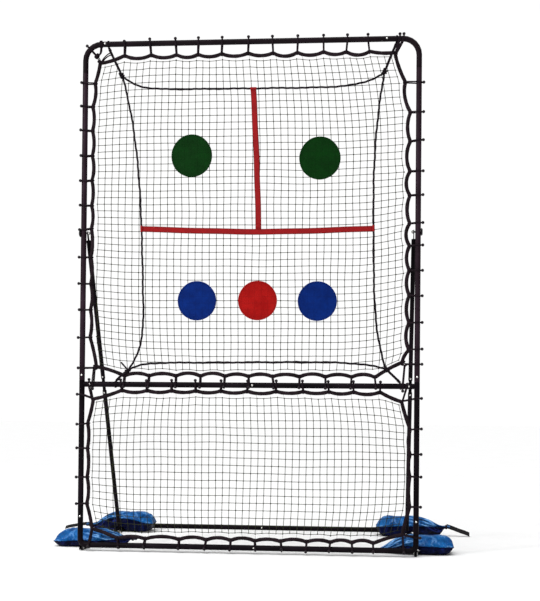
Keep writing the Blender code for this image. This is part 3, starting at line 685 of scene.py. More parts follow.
def bungee(loops, balls, tube, rope, axis, tilt=0.0, apart_by=1.0):
    """A ball bungee: two strands round the rope and the tube, held by a ball beyond the tube."""
    tube, rope, axis = (np.asarray(v, float) for v in (tube, rope, axis))
    apart = tube - rope
    slip = float(apart @ axis)
    out = apart - slip * axis
    gap = np.linalg.norm(out)
    out /= gap
    front = np.array([0, -1.0, 0])
    lean = np.array([math.cos(tilt), math.sin(tilt)])
    neck = TUBE_R + 0.0030
    circles = [
        (0.0, 0.0, ROPE_R + ELASTIC_R),
        (gap, 0.0, TUBE_R + ELASTIC_R),
        (gap + lean[0] * neck, lean[1] * neck, 0.0014),
    ]
    path = belt(circles, 36)
    twist = dice.normal() * 0.0010
    along = np.clip(path[:, 0] / gap, 0, 1)
    for way in (-1, 1):
        wide = np.interp(path[:, 0], [0, gap, gap + neck], [0.96, 1.1, 0.5])
        shift = way * wide * apart_by * ELASTIC_R + twist * along + slip * along
        line = rope + path[:, :1] * out + path[:, 1:] * front + shift[:, None] * axis
        sweep(loops, line, ELASTIC_R, axis, 6, closed=True)
    seat = np.array([gap, 0]) + lean * BALL_SEAT
    centre = rope + seat[0] * out + seat[1] * front + (slip + twist) * axis
    lathe(balls, BALL_PROFILE, centre, lean[0] * out + lean[1] * front, 12)


def tie_row(name, tubes, ropes, axis, tilts, apart_by=1.0):
    """One row of ball bungees, as one piece of elastic loops and one of balls."""
    loops, balls = Shape(), Shape()
    for tube, rope, tilt in zip(tubes, ropes, np.broadcast_to(tilts, len(tubes))):
        bungee(loops, balls, tube, rope, axis, tilt + dice.normal() * 0.09, apart_by)
    loops.make(f"{name}_bungees", ELASTIC, "frame", "rope")
    balls.make(f"{name}_bungee_balls", BALL, "frame", "knob")


def slipped(values, amount=0.003):
    """The values with a small random slip each."""
    return np.asarray(values) + dice.normal(size=len(values)).clip(-2, 2) * amount


# Where the bungees grip the tubes (metres), read along each tube of the frame
top_x = np.array([-0.457, -0.364, -0.271, -0.188, -0.103, -0.007, 0.080, 0.168, 0.260, 0.348, 0.420])
over_x = np.array([-0.445, -0.357, -0.256, -0.170, -0.084, 0.005, 0.092, 0.185, 0.277, 0.367, 0.456])
under_x = np.array([-0.457, -0.363, -0.271, -0.186, -0.095, 0.000, 0.104, 0.199, 0.290, 0.378, 0.471])
bottom_x = np.array([-0.460, -0.367, -0.241, -0.148, -0.055, 0.033, 0.128, 0.212, 0.294, 0.378, 0.452])
upper_left_z = np.array([1.690, 1.606, 1.520, 1.426, 1.336, 1.247, 1.160, 1.057, 0.961, 0.868, 0.768])
upper_right_z = np.array([1.675, 1.570, 1.469, 1.361, 1.275, 1.177, 1.099, 1.009, 0.919, 0.824, 0.731])
lower_left_z = np.array([0.458, 0.370, 0.266, 0.171])
lower_right_z = np.array([0.450, 0.361, 0.281, 0.177])

# The rope's line past its ties, in the frame's plane
upper_left_x = np.where(upper_left_z > 1.65, -0.565, -0.573)
upper_right_x = np.where(upper_right_z > 1.65, 0.553, 0.572)
lower_rope_x = 0.578
rope_top, rope_bottom = 1.7900, 0.6300
low_top, low_bottom = 0.5800, 0.0460


def row(x, z):
    """Points in the frame's plane from x and z, either of which may be one number."""
    x, z = np.broadcast_arrays(np.asarray(x, float), np.asarray(z, float))
    return np.column_stack([x, np.full(len(x), FRONT_Y), z])


def spot(x, z):
    """One point in the frame's plane."""
    return np.array([x, FRONT_Y, z])


upper_edge = NetEdge(
    [spot(-0.547, 1.763), spot(0.515, 1.783), spot(0.548, 0.684), spot(-0.548, 0.663)],
    {
        "top": row(slipped(top_x), rope_top + 0.001 * dice.normal(size=len(top_x))),
        "right": row(upper_right_x, slipped(upper_right_z, 0.002)),
        "bottom": row(slipped(over_x), rope_bottom)[::-1],
        "left": row(upper_left_x, slipped(upper_left_z, 0.002))[::-1],
    },
    {"top": (0, 0, -0.0125), "right": (-0.0130, 0, 0), "bottom": (0, 0, 0.0105), "left": (0.0065, 0, 0)},
)
lower_edge = NetEdge(
    [spot(-0.558, 0.547), spot(0.547, 0.546), spot(0.553, 0.078), spot(-0.557, 0.079)],
    {
        "top": row(slipped(under_x), low_top),
        "right": row(lower_rope_x, slipped(lower_right_z, 0.002)),
        "bottom": row(slipped(bottom_x), low_bottom)[::-1],
        "left": row(-lower_rope_x, slipped(lower_left_z, 0.002))[::-1],
    },
    {"top": (0, 0, -0.0085), "right": (-0.006, 0, 0), "bottom": (0, 0, 0.0095), "left": (0.006, 0, 0)},
)


def ropes_and_nets():
    """Both edge ropes and both nets, each with the size of its outline."""
    upper_edge.rope("upper_net_rope", "upper_net_edge_rope")
    lower_edge.rope("lower_net_rope", "lower_net_edge_rope")
    net("upper_net_twine", upper_edge, "upper_net")
    net("lower_net_twine", lower_edge, "lower_net")


def all_ties():
    """Every ball bungee: eleven along each bar, the rows down the uprights and the corner ones."""
    up, low = upper_edge.ties, lower_edge.ties
    rolled = np.interp(top_x, [-0.46, -0.36, -0.1], [1.2, 0.75, 0.3])
    tie_row("top_bar", row(top_x, TOP_Z), up["top"], ACROSS, rolled, 0.7)
    tie_row("right_upright", row(SIDE_X, upper_right_z), up["right"], UP, 0.25, 0.4)
    tie_row("left_upright", row(-SIDE_X, upper_left_z), up["left"][::-1], UP, 0.75, 0.4)
    tie_row("crossbar_upper", row(over_x, CROSS_Z), up["bottom"][::-1], ACROSS, 1.05)
    tie_row("crossbar_lower", row(under_x, CROSS_Z), low["top"], ACROSS, 0.45)
    tie_row("right_leg", row(SIDE_X, lower_right_z), low["right"], UP, 0.4, 0.7)
    tie_row("left_leg", row(-SIDE_X, lower_left_z), low["left"][::-1], UP, 0.45, 0.7)
    tie_row("bottom_bar", row(bottom_x, BOTTOM_Z), low["bottom"][::-1], ACROSS, 1.25)
    corners, lows = upper_edge.corners, lower_edge.corners
    loops, balls = Shape(), Shape()
    slant = (math.sqrt(0.5), 0, math.sqrt(0.5))
    bend = np.array([-SIDE_X + 0.017, FRONT_Y, TOP_Z - 0.017])
    for tube, rope, axis, tilt in (
        (bend, spot(-0.560, 1.789), slant, 0.1),
        (spot(0.532, TOP_Z), corners["top_right"] + [0.003, 0, 0.004], ACROSS, 0.1),
        (spot(0.545, TOP_Z), corners["top_right"] + [0.006, 0, 0.001], ACROSS, 0.15),
        (spot(SIDE_X, 0.677), spot(0.566, 0.678), UP, 0.2),
        (spot(0.551, CROSS_Z), spot(0.556, 0.668), ACROSS, 0.15),
        (spot(-SIDE_X, 0.657), spot(-0.562, 0.659), UP, 0.8),
        (spot(-0.560, CROSS_Z), spot(-0.556, 0.652), ACROSS, 0.25),
        (spot(-0.574, CROSS_Z), lows["top_left"] + [-0.004, 0, 0.004], ACROSS, 0.1),
        (spot(-SIDE_X, 0.563), lows["top_left"] + [-0.006, 0, 0.003], UP, 0.4),
        (spot(SIDE_X, 0.557), lows["top_right"] + [0.005, 0, 0.002], UP, 0.35),
        (spot(0.566, CROSS_Z), lows["top_right"] + [0.003, 0, 0.004], ACROSS, 1.1),
        (spot(SIDE_X, 0.069), lows["bottom_right"] + [0.004, 0, 0], UP, 0.6),
        (spot(-0.567, BOTTOM_Z), lows["bottom_left"], ACROSS, 1.4),
        (spot(0.559, BOTTOM_Z), lows["bottom_right"], ACROSS, 1.3),
    ):
        bungee(loops, balls, tube, rope, axis, tilt)
    loops.make("corner_bungees", ELASTIC, "frame", "rope")
    balls.make("corner_bungee_balls", BALL, "frame", "knob")


def corner_lashings():
    """Thin cords that draw the net's corners out to the corner bungees and the top bar."""
    shape = Shape()
    top_left = upper_edge.corners["top_left"]
    strands = [
        [spot(-0.560, 1.786), spot(-0.554, 1.776), top_left + [-0.002, 0, 0.003]],
        [spot(-0.556, 1.788), spot(-0.548, 1.778), top_left + [0.003, 0, 0.003]],
        [spot(-0.546, TOP_Z - TUBE_R), spot(-0.547, 1.799), spot(-0.556, 1.789)],
        [spot(-0.541, TOP_Z - TUBE_R), spot(-0.541, 1.801), spot(-0.551, 1.790)],
        [spot(-0.511, 1.800), spot(-0.521, 1.795), spot(-0.535, 1.781), top_left + [0.003, 0, 0.004]],
        [spot(-0.506, 1.792), spot(-0.520, 1.786), spot(-0.533, 1.774), top_left + [0.006, 0, 0.002]],
    ]
    for a, b, c in (
        (upper_edge.corners["bottom_right"], spot(0.566, 0.678), spot(0.556, 0.667)),
        (upper_edge.corners["bottom_left"], spot(-0.562, 0.659), spot(-0.556, 0.651)),
    ):
        strands += [[a, b], [b, c], [c, a]]
    for k, strand in enumerate(strands):
        line = softened(evenly(strand, 0.003), 6)
        line[:, 1] += (-1) ** k * 0.0020
        sweep(shape, line, LACE_R, AWAY, 6, capped=True)
    for centre, way in (
        (top_left + [0.001, 0, 0.004], (0.5, 0, 0.86)), (spot(-0.558, 1.788), (0.7, 0, -0.7)),
        (upper_edge.corners["bottom_right"] + [0.003, 0, -0.002], (0.8, 0, -0.5)),
        (upper_edge.corners["bottom_left"] + [-0.004, 0, -0.002], (-0.8, 0, -0.5)),
    ):
        for slip in (-0.004, -0.001, 0.002):
            line = np.asarray(way, float) / np.linalg.norm(way)
            hitch(shape, centre + slip * line, line, ROPE_R + LACE_R, LACE_R, 6, 14)
    for x in (-0.546, -0.541):
        hitch(shape, spot(x, TOP_Z), ACROSS, TUBE_R + LACE_R, LACE_R, 6, 20)
    shape.make("corner_lashing", ELASTIC, "frame", "rope")


# ---- strike zone


def bowed(start, end, depth, peak, first, last):
    """A slack line from start to end that bows by depth (a vector), deepest at share peak."""
    t = np.linspace(0, 1, 60)
    near, far = np.abs(t - peak) / peak, np.abs(t - peak) / (1 - peak)
    pull = np.where(t < peak, 1 - near**first, 1 - far**last)
    start, end = np.asarray(start, float), np.asarray(end, float)
    return start + (end - start) * t[:, None] + np.asarray(depth) * pull[:, None]


def knot(shape, centre, way, radius=CORD_R, turns=2.5):
    """A pulled-tight knot: a few turns of cord wound round itself."""
    way = np.asarray(way, float) / np.linalg.norm(way)
    t = np.linspace(0, 1, int(16 * turns))
    coil = 1.7 * radius * round_way(way, 2 * math.pi * turns * t)
    path = centre + (t[:, None] - 0.5) * way * radius * 2.1 * turns + coil
    sweep(shape, path, radius, way, 6, capped=True)


# The strike zone's corners, in the order of CORNERS, and its four sides
ZONE = np.array([
    (-0.464, CORD_Y, 1.713), (0.478, CORD_Y, 1.710), (0.490, CORD_Y, 0.661), (-0.431, CORD_Y, 0.651),
])
ZONE_TOP = bowed(ZONE[0], ZONE[1], (0, 0, -0.050), 0.5, 9, 6.5)
ZONE_RIGHT = bowed(ZONE[1], ZONE[2], (-0.041, 0, 0), 0.5, 2.4, 4.2)
ZONE_BOTTOM = bowed(ZONE[3], ZONE[2], (0, 0, 0.026), 0.4, 9, 6)
ZONE_LEFT = bowed(ZONE[0], ZONE[3], (0.060, 0, 0), 0.74, 3.4, 3.6)


def zone_cords():
    """The strike zone's cord: four slack sides knotted at the corners and led out to the frame."""
    shape = Shape()
    loop = np.vstack([ZONE_TOP[:-1], ZONE_RIGHT[:-1], ZONE_BOTTOM[::-1][:-1], ZONE_LEFT[::-1][:-1]])
    loop = softened(evenly(loop, 0.005, closed=True), 1, closed=True)
    ripple = 0.0006 * np.sin(np.arange(len(loop)) * 0.9) + 0.0007 * np.sin(np.arange(len(loop)) * 0.23)
    loop[:, 0] += ripple
    loop[:, 2] += ripple[::-1]
    sweep(shape, loop, CORD_R, AWAY, 8, closed=True)
    leads = (
        spot(-0.515, TOP_Z - TUBE_R - 0.004), spot(0.521, TOP_Z - TUBE_R - 0.003),
        spot(0.541, CROSS_Z + TUBE_R + 0.003), spot(-0.475, CROSS_Z + TUBE_R + 0.003),
    )
    for start, anchor in zip(ZONE, leads):
        way = (anchor - start) / np.linalg.norm(anchor - start)
        for side in (-1, 1):
            shift = side * LEAD_R * 0.8 * np.cross(way, AWAY)
            t = np.linspace(0, 1, 16)[:, None]
            line = start + (anchor - start) * t + shift * np.minimum(1, 6 * t)
            line[:, 1] -= 0.0105 * np.sin(math.pi * t[:, 0])
            sweep(shape, line, LEAD_R, AWAY, 6, capped=True)
        knot(shape, start + way * 0.004, way)
    grips = ((-0.517, TOP_Z), (0.521, TOP_Z), (0.543, CROSS_Z), (-0.477, CROSS_Z))
    turn_r = 0.0015
    for corner, anchor, (x, z) in zip(ZONE, leads, grips):
        for slip in (-0.0016, 0.0016):
            hitch(shape, spot(x + slip, z), ACROSS, TUBE_R + turn_r, turn_r, 6, 20)
        lean = anchor - corner
        knot(shape, anchor - 0.010 * lean / np.linalg.norm(lean), lean, 0.0022, turns=2)
    loose_end = ZONE[3] + [-0.026, 0.001, 0.028]
    sweep(shape, np.linspace(ZONE[3], loose_end, 6), CORD_R * 0.9, AWAY, 6, capped=True)
    cord = shape.make("strike_zone_line", CORD, "frame", "rope")
    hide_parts("strike_zone_cord")


def crossing(path, axis, value):
    """Where the path passes value on one axis, as a point."""
    order = np.argsort(path[:, axis])
    return sampled(value, path[order, axis], path[order])


def ribbon(shape, path, across, width, thick):
    """A flat strap along the path, with slightly rounded edges. across is its width's direction."""
    path = np.asarray(path, float)
    across = np.asarray(across, float)
    face = np.cross(directions(path), across)
    face /= np.linalg.norm(face, axis=1)[:, None]
    half, t = width / 2, thick / 2
    ring = [
        (-half, 0.0), (-half + t * 0.6, t), (-half / 2, t), (0.0, t), (half / 2, t), (half - t * 0.6, t),
        (half, 0.0), (half - t * 0.6, -t), (half / 2, -t), (0.0, -t), (-half / 2, -t), (-half + t * 0.6, -t),
    ]
    points = np.stack([path + a * across + b * face for a, b in ring], axis=1)
    ends = [np.repeat(path[k][None, None], len(ring), axis=1) for k in (0, -1)]
    at = lengths(path)
    at = np.concatenate([at[:1], at, at[-1:]])
    wide = np.array([a for a, _ in ring] + [ring[0][0]]) / width + 0.5
    shape.skin(np.concatenate([ends[0], points, ends[1]]), at, wide)


def stitches(shape, path, face):
    """A row of thread stitches lying on a surface along the path. face points off the surface."""
    line = evenly(path, (STITCH + STITCH_GAP) / 4)
    for i in range(0, len(line) - 3, 4):
        piece = line[i : i + 4] + np.outer([0.0, 1.0, 1.0, 0.0], np.asarray(face) * STITCH_R)
        sweep(shape, piece, STITCH_R, face, 4)


def straps():
    """Red webbing sewn on in front of the net, its ends turned round the strike zone's cord."""
    width, thick = STRAP_WIDTH, STRAP_THICK
    left = crossing(ZONE_LEFT, 2, 1.160)
    right = crossing(ZONE_RIGHT, 2, 1.158)
    top = crossing(ZONE_TOP, 0, 0.012)
    t = np.linspace(0, 1, 90)[:, None]
    across_path = left + (right - left) * t
    across_path[:, 2] -= 0.0105 * np.sin(math.pi * t[:, 0] * 0.98) ** 0.8
    across_path[:, 2] += 0.0008 * np.sin(9 * t[:, 0]) + 0.0005 * np.sin(23 * t[:, 0])
    across_path[:, 1] = STRAP_Y
    meet = crossing(across_path, 0, 0.035)
    low = np.array([0.0352, STRAP_Y, meet[2] + 0.0098])
    t = np.linspace(0, 1, 60)[:, None]
    down_path = top + (low - top) * t
    down_path[:, 0] += 0.0022 * np.sin(math.pi * t[:, 0]) + 0.0005 * np.sin(17 * t[:, 0])
    down_path[:, 1] = STRAP_Y
    for name, path, wide, stands_for in (
        ("horizontal_webbing", across_path, np.array(UP), "horizontal_strap"),
        ("vertical_webbing", down_path, np.array(ACROSS), "vertical_strap"),
    ):
        shape, thread = Shape(), Shape()
        ribbon(shape, path, wide, width, thick)
        piece = shape.make(name, RED_WEBBING, "frame", "strap")
        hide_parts(stands_for)
        rows = [path + way * (width / 2 - EDGE_INSET) * wide for way in (-1, 1)]
        for end in (path[0], path[-1]):
            inward = path[len(path) // 2] - end
            inward /= np.linalg.norm(inward)
            for far in (0.006, 0.020):
                a = end + inward * far
                rows.append(np.linspace(a - CROSS_ROW * wide, a + CROSS_ROW * wide, 5))
        for line in rows:
            for face in (-1, 1):
                stitches(thread, line + [0, face * thick / 2, 0], (0, face, 0))
        sewing = thread.make(f"{name}_stitching", THREAD_RED, "frame", "strap")
    sleeves = Shape()
    for point, side in ((left, ZONE_LEFT), (right, ZONE_RIGHT), (top, ZONE_TOP)):
        along = directions(side)[len(side) // 2]
        span = np.linspace(point - along * width / 2, point + along * width / 2, 8)
        sweep(sleeves, span, CORD_R + thick * 0.8, AWAY, 12, capped=True)
    sleeves.make("webbing_end_turns", RED_WEBBING, "frame", "strap")


def patch(node, colour):
    """A round cloth target: hemmed, and sewn on in front of the net."""
    low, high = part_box(node)
    centre = (np.array(low) + np.array(high)) / 2
    radius = (high.x - low.x) / 2
    tall = 1.045 if colour == "green" else 1.012
    name = node.replace("target", "patch")
    rings, sides = 26, 96
    hem_rings, hem_at, hem_lift, cloth_thick = 8, 0.915, 0.0004, 0.0009
    shares = np.concatenate([np.linspace(0, 0.90, rings - hem_rings), np.linspace(hem_at, 1, hem_rings)])
    hem = hem_lift * np.clip((shares - hem_at) / 0.02, 0, 1)[:, None]
    angle = np.arange(sides) * 2 * math.pi / sides
    lobes = 1 + 0.004 * np.sin(3 * angle + radius * 40) + 0.002 * np.sin(7 * angle)

    def circles(radii, lift):
        """Rings of points on the rippled cloth, moved back by lift."""
        x = centre[0] + radii * np.cos(angle) * lobes
        z = centre[2] + radii * tall * np.sin(angle) * lobes
        ripple = 0.0004 * np.sin(60 * x + 3) * np.sin(45 * z)
        return np.stack([x, PATCH_Y + ripple + lift, z], axis=-1)

    shape = Shape()
    radii = radius * shares[:, None]
    edge = np.concatenate([circles(radii, -hem), circles(radii, hem + cloth_thick)[::-1]])
    shape.skin(edge, np.arange(2 * rings) / (2 * rings), flip=True)
    piece = shape.make(name, CLOTHS[colour], "frame", colour)
    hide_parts(node)
    thread = Shape()
    for inset, lift in ((0.0025, -hem_lift), (0.0052, -hem_lift), (0.0038, hem_lift + cloth_thick)):
        circle = circles(radius - inset, lift)
        stitches(thread, np.vstack([circle, circle[:1]]), (0, np.sign(lift), 0))
    rows = thread.make(f"{name}_stitching", THREADS[colour], "frame", colour)


# ---- sandbags


def smooth(x, low, high):
    """0 below low, 1 above high, and eased in between."""
    t = np.clip((np.asarray(x, float) - low) / (high - low), 0, 1)
    return t * t * (3 - 2 * t)


def hump(x, at, wide):
    """A smooth hump of height 1 at one place."""
    return np.exp(-(((x - at) / wide) ** 2))


# Where the tie lies along a bag, the neck's radius, and how far a bag stands forward of its CAD box
TIE_SHARE, NECK_R = 0.05, 0.0062
BAG_FORWARD = 0.006

# Creases across a bag: share of its length, wave, depth and width
CREASES = ((0.60, 0.035, 0.0034, 0.016), (0.74, -0.05, 0.0024, 0.012), (0.87, 0.03, 0.0030, 0.012))


def bag_surface(size, share, angle, seed, outline):
    """A bag's skin: share runs from the gathered neck at 0, past the tie, to the sewn end at 1."""
    length, depth, height = size
    neck_at, belly, tip_at, blunt, point = outline
    neck_z, tip_z = neck_at * height, tip_at * height
    frill = np.clip((TIE_SHARE - share) / TIE_SHARE, 0, 1)
    swell = smooth(share, TIE_SHARE, 0.46)
    end = np.clip((share - blunt) / (1 - blunt), 0, 1)
    top = neck_z + NECK_R + (height - neck_z - NECK_R) * swell**0.85 + 0.001 * frill
    top = tip_z + (top - tip_z) * (1 - end**2.1) ** point
    bottom = np.maximum(neck_z - NECK_R, 0) * (1 - smooth(share, TIE_SHARE, 0.17))
    last = np.clip((share - 0.90) / 0.10, 0, 1)
    bottom = bottom + tip_z * last**1.8 * (share > 0.5)
    half = NECK_R + 0.012 * frill**1.2 + (depth - NECK_R) * swell**0.8
    half = half * (1 - 0.30 * np.clip((share - 0.80) / 0.20, 0, 1) ** 2.5)
    seam = neck_z + (belly * height - neck_z) * smooth(share, 0.08, 0.42)
    seam = seam + (tip_z - seam) * smooth(share, 0.60, 1.0)
    c, s = np.cos(angle), np.sin(angle)
    full = np.where(s >= 0, 0.8, 0.8 - 0.28 * smooth(share, 0.15, 0.4))
    y = half * np.sign(c) * np.abs(c) ** full
    z = np.where(s >= 0, seam + (top - seam) * np.abs(s) ** 0.9, seam - (seam - bottom) * np.abs(s) ** 0.62)
    phase = seed * 1.7
    warp = 0.35 * np.sin(3 * angle + phase) + 0.22 * np.sin(5 * angle - 2 * phase)
    reach = share * (1 + 0.3 * np.sin(2 * angle + phase))
    pleats = (
        0.0060 * np.abs(np.sin(5.5 * (angle + warp) + phase)) * hump(reach, 0.12, 0.10)
        + 0.0066 * np.abs(np.sin(3.5 * (angle + warp) - 2 * phase)) * hump(reach, 0.30, 0.12)
        + 0.0016 * np.cos(13 * angle + phase) * np.exp(-share / 0.06)
        + 0.0022 * np.cos(7 * angle + phase) * hump(share, 0.95, 0.04)
    ) * smooth(share, 0.01, 0.08)
    dents = 0.0018 * np.sin(17 * share + 2 * s + phase) * np.sin(3 * angle + phase) * smooth(share, 0.3, 0.5)
    for at, wave, deep, wide in CREASES:
        line = at + wave * np.sin(2 * angle + phase)
        dents = dents - deep * hump(share, line, wide) * smooth(s, 0.0, 0.5)
    push = (dents * np.clip((1 - share) / 0.08, 0, 1) - pleats) * np.clip(half / 0.02, 0.2, 1)
    push = np.where(s < -0.2, push * 0.5, push)
    return np.stack([length * share, y + push * c, np.maximum(z + push * s, 0)], axis=-1)


def inflate(piece, pins, cap):
    """Cloth with air pressure and a little spare skin, settled and applied; no point moves past cap."""
    group = piece.vertex_groups.new(name="held")
    group.add([int(i) for i in pins], 1.0, "REPLACE")
    cloth = piece.modifiers.new("cloth", "CLOTH")
    cloth.settings.vertex_group_mass = "held"
    cloth.settings.quality = 6
    cloth.settings.mass = 0.12
    cloth.settings.tension_stiffness = 12
    cloth.settings.compression_stiffness = 8
    cloth.settings.bending_stiffness = 0.25
    cloth.settings.shrink_min = -0.030
    cloth.settings.use_pressure = True
    cloth.settings.uniform_pressure_force = 2.0
    cloth.settings.effector_weights.gravity = 0
    for step in range(1, 21):
        bpy.context.scene.frame_set(step)
    view = bpy.context.evaluated_depsgraph_get()
    settled = np.array([v.co for v in piece.evaluated_get(view).data.vertices])
    rest = np.array([v.co for v in piece.data.vertices])
    moved = settled - rest
    size = np.linalg.norm(moved, axis=1)
    moved *= np.minimum(1, cap / np.maximum(size, 1e-9))[:, None]
    piece.modifiers.remove(cloth)
    piece.vertex_groups.clear()
    bpy.context.scene.frame_set(1)
    return rest + moved


def lifted(points):
    """Points kept above the floor and over the base tube that the bag lies across."""
    away = np.abs(np.abs(points[:, 0]) - SIDE_X)
    ground, rise = 0.0006, 2 * TUBE_R + 0.0016
    floor = ground + (rise - ground) * (1 - smooth(away, TUBE_R + 0.0015, TUBE_R + 0.016))
    points[:, 2] = np.maximum(points[:, 2], floor)
    return points


def sandbag(node, neck_side, seed, neck_end, past_box, outline):
    """A filled bag across the base tube: two cloth panels, a welded seam and a tied neck."""
    low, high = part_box(node)
    centre, height = (low + high) / 2, high.z - low.z
    blunt_x = low.x - past_box if neck_side > 0 else high.x + past_box
    length, depth = abs(neck_end - blunt_x), (high.y - low.y) / 2
    rings, sides = 130, 88
    angle, share = np.meshgrid(np.arange(sides) * 2 * math.pi / sides, np.linspace(0, 1, rings))
    skin = bag_surface((length, depth, height), share, angle, seed, outline)
    skin[..., 0] = neck_end - neck_side * skin[..., 0]
    skin[..., 1] += centre.y - BAG_FORWARD

    shape = Shape()
    shape.skin(skin, np.arange(rings) / rings, flip=neck_side < 0)
    name = node.replace("sandbag", "bag")
    bag = shape.make(name, BAG_TOP, "base", "bag")
    # The lower half of the faces takes the darker copy of the cloth: painted shade.
    bag.data.materials.append(BAG_UNDER_PAINTED_SHADE)
    under = np.tile(np.arange(sides) >= sides // 2, rings - 1)
    bag.data.polygons.foreach_set("material_index", under.astype(int))
    points = skin.reshape(-1, 3)
    # The cloth is held at the neck, the sewn end, the ground and both seams
    index = np.arange(rings * sides)
    held = (index < 8 * sides) | (index >= (rings - 3) * sides) | (points[:, 2] < 0.0015)
    held |= index % (sides // 2) == 0
    points = inflate(bag, np.flatnonzero(held), 0.0045)
    bag.data.vertices.foreach_set("co", lifted(points).ravel())
    bag.data.update()
    round_skin = bag.modifiers.new("smooth_skin", "SUBSURF")
    round_skin.levels = round_skin.render_levels = 1
    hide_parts(node)

    points = points.reshape(rings, sides, 3)
    seam_shape = Shape()
    near, far = points[8:-1, 0], points[8:-1, sides // 2]
    loop = np.vstack([near, far[::-1]])
    out = np.cross(directions(loop), UP)
    facing = np.repeat([1, -1], [len(near), len(far)])
    out *= np.sign(out[:, 1] * facing)[:, None]
    lip = loop + 0.0012 * out
    lip[:, 2] += 0.0006 * np.sin(np.arange(len(lip)) * 0.7) + 0.0004 * np.sin(np.arange(len(lip)) * 1.9)
    ribbon(seam_shape, lip, out, 0.0036, 0.0010)
    # The seam takes the lower panel's darker copy of the cloth: painted shade.
    seam = seam_shape.make(f"{name}_seam", BAG_UNDER_PAINTED_SHADE, "base", "bag")

    tie = Shape()
    ring = points[int(TIE_SHARE * rings)]
    middle = ring.mean(axis=0)
    tie_r = np.linalg.norm(ring - middle, axis=1).mean() + 0.0012
    for step in (-0.0022, 0, 0.0022):
        hitch(tie, middle + [-neck_side * step, 0, 0], ACROSS, tie_r, 0.0016, 6, 20)
    band = tie.make(f"{name}_neck_tie", ELASTIC, "base", "rope")
    for part in (seam, band):
        part.parent, part.matrix_parent_inverse = bag, Matrix.Identity(4)
    return middle


def tail(node, start, side, droop, lean):
    """The webbing end of a rear bag's tie: flat black strap from the neck down to the ground."""
    low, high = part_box(node)
    reach = high.x if side > 0 else low.x
    t = np.linspace(0, 1, 40)
    begin = start + [side * 0.002, 0, 0.004]
    end = np.array([reach - side * 0.001, begin[1] - 0.004, 0.0090])
    path = begin + (end - begin) * t[:, None]
    wrinkle = 0.002 * np.sin(math.pi * t) + 0.0006 * np.sin(9 * t)
    path[:, 2] = begin[2] + (end[2] - begin[2]) * t**droop + wrinkle
    shape = Shape()
    ribbon(shape, path, (0.05 * side, math.sqrt(1 - lean**2), lean), TAIL_WIDTH, TAIL_THICK)
    strap = shape.make(node.replace("bag_tail", "tie_webbing"), BLACK_WEBBING, "base", "webbing")
    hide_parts(node)


# ---- floor, lights and camera


# The camera, as solved from the photo: place, turn (degrees) and lens (mm, share of its width)
CAMERA_PLACE = (0.4465, FRONT_Y - 4.0782, 0.5118)
CAMERA_YAW, CAMERA_PITCH, CAMERA_ROLL = -5.117, 0.98, 0.521
LENS, LENS_SHIFT = 68.98, 0.1498

# Half the floor's side, and the backdrop's radius
FLOOR_HALF, DOME_R = 40, 60


def solid(name, points, faces, material):
    """A plain mesh for the studio."""
    mesh = bpy.data.meshes.new(name)
    mesh.from_pydata(points, [], faces)
    mesh.materials.append(material)
    return linked(name, mesh)


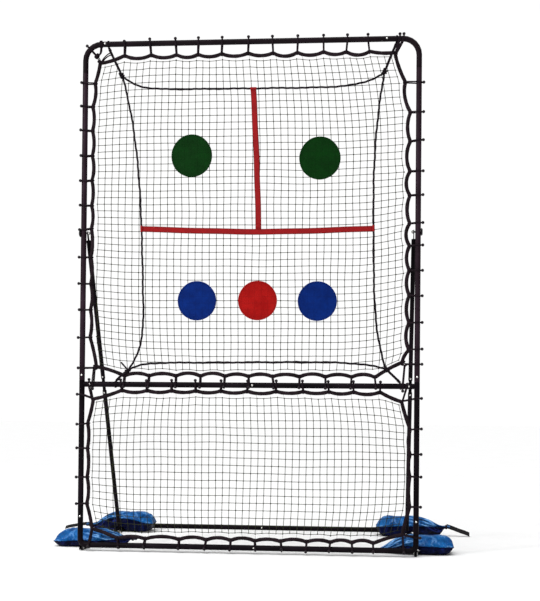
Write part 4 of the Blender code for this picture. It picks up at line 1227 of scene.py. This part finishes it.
def studio():
    """A pale floor, a white surround, a small lamp, a wide soft sun and the camera."""
    look = Look("pale_floor", roughness=0.85, specular=0.1)
    tone = look.noise(3, 3)
    material = look.finish(look.mix(look.ramp(tone, 0.3, 0.7), (0.90, 0.90, 0.90), (0.92, 0.92, 0.92)))
    square = [(x * FLOOR_HALF, y * FLOOR_HALF, 0) for x, y in ((-1, -1), (1, -1), (1, 1), (-1, 1))]
    floor = solid("studio_floor", square, [(0, 1, 2, 3)], material)

    glow = Look("white_backdrop")
    glow.put(glow.shader.inputs["Base Color"], (0, 0, 0))
    glow.shader.inputs["Specular IOR Level"].default_value = 0
    glow.shader.inputs["Emission Color"].default_value = (1, 1, 1, 1)
    glow.shader.inputs["Emission Strength"].default_value = 1.02
    dome = Shape()
    arc = np.linspace(0, math.pi, 25)
    lathe(dome, DOME_R * np.stack([np.sin(arc), -np.cos(arc)], axis=1), (0, 0, 0), UP, 48)
    backdrop = solid("white_backdrop", dome.points[0].tolist(), dome.faces[0].tolist(), glow.material)
    for ray in ("diffuse", "glossy", "transmission", "volume_scatter", "shadow"):
        setattr(backdrop, f"visible_{ray}", False)

    world = bpy.data.worlds.new("studio")
    world.use_nodes = True
    sky = world.node_tree.nodes["Background"].inputs
    sky["Color"].default_value = (1, 1, 1, 1)
    sky["Strength"].default_value = 0.26
    bpy.context.scene.world = world

    lamp = bpy.data.lights.new("side_glint", "AREA")
    lamp.shape, lamp.size, lamp.size_y, lamp.energy = "RECTANGLE", 0.4, 0.4, 40
    glint = linked("side_glint", lamp)
    glint.location = (-1.9, -2.6, 2.3)
    aim = Vector((0, -0.2, 0.1)) - glint.location
    glint.rotation_euler = aim.to_track_quat("-Z", "Y").to_euler()
    sun = bpy.data.lights.new("wide_soft", "SUN")
    sun.energy, sun.angle = 3.0, math.radians(70)
    from_above = Vector((-0.18, -0.42, 1))
    linked("wide_soft", sun).rotation_euler = from_above.to_track_quat("Z", "Y").to_euler()

    yaw, pitch, roll = (math.radians(turn) for turn in (CAMERA_YAW, CAMERA_PITCH, CAMERA_ROLL))
    ahead = Vector((math.sin(yaw) * math.cos(pitch), math.cos(yaw) * math.cos(pitch), math.sin(pitch)))
    right = Vector((math.cos(yaw), -math.sin(yaw), 0))
    up = right.cross(ahead)
    c, s = math.cos(roll), math.sin(roll)
    right, up = c * right + s * up, c * up - s * right
    lens = bpy.data.cameras.new("camera")
    lens.sensor_width, lens.lens, lens.shift_y = 36, LENS, LENS_SHIFT
    lens.clip_end = 200
    camera = linked("camera", lens)
    turn = Matrix((right, up, -ahead)).transposed().to_4x4()
    camera.matrix_world = Matrix.Translation(Vector(CAMERA_PLACE)) @ turn
    bpy.context.scene.camera = camera
    bpy.context.scene.view_settings.view_transform = "Standard"


# Neck side, seed, neck end, how far the other end passes the CAD box, then the outline: shares of the
# height for neck, seam and end, the share of the length where the end starts, and its curve
sandbag("sandbag_front_left", 1, 1, -0.428, 0.002, (0.50, 0.43, 0.33, 0.80, 0.80))
sandbag("sandbag_front_right", -1, 2, 0.440, 0.009, (0.14, 0.52, 0.46, 0.84, 0.38))
neck = sandbag("sandbag_rear_left", -1, 3, -0.752, 0.001, (0.30, 0.74, 0.46, 0.80, 0.50))
tail("bag_tail_left", neck, -1, 1.3, 0.42)
neck = sandbag("sandbag_rear_right", 1, 4, 0.764, 0.002, (0.50, 0.60, 0.52, 0.84, 0.95))
tail("bag_tail_right", neck, 1, 0.92, 0.60)
dress_frame()
brace_rivets()
ropes_and_nets()
all_ties()
corner_lashings()
zone_cords()
straps()
for target in ("green_left", "green_right", "blue_left", "blue_right", "red"):
    patch(f"target_{target}", target.split("_")[0])
studio()
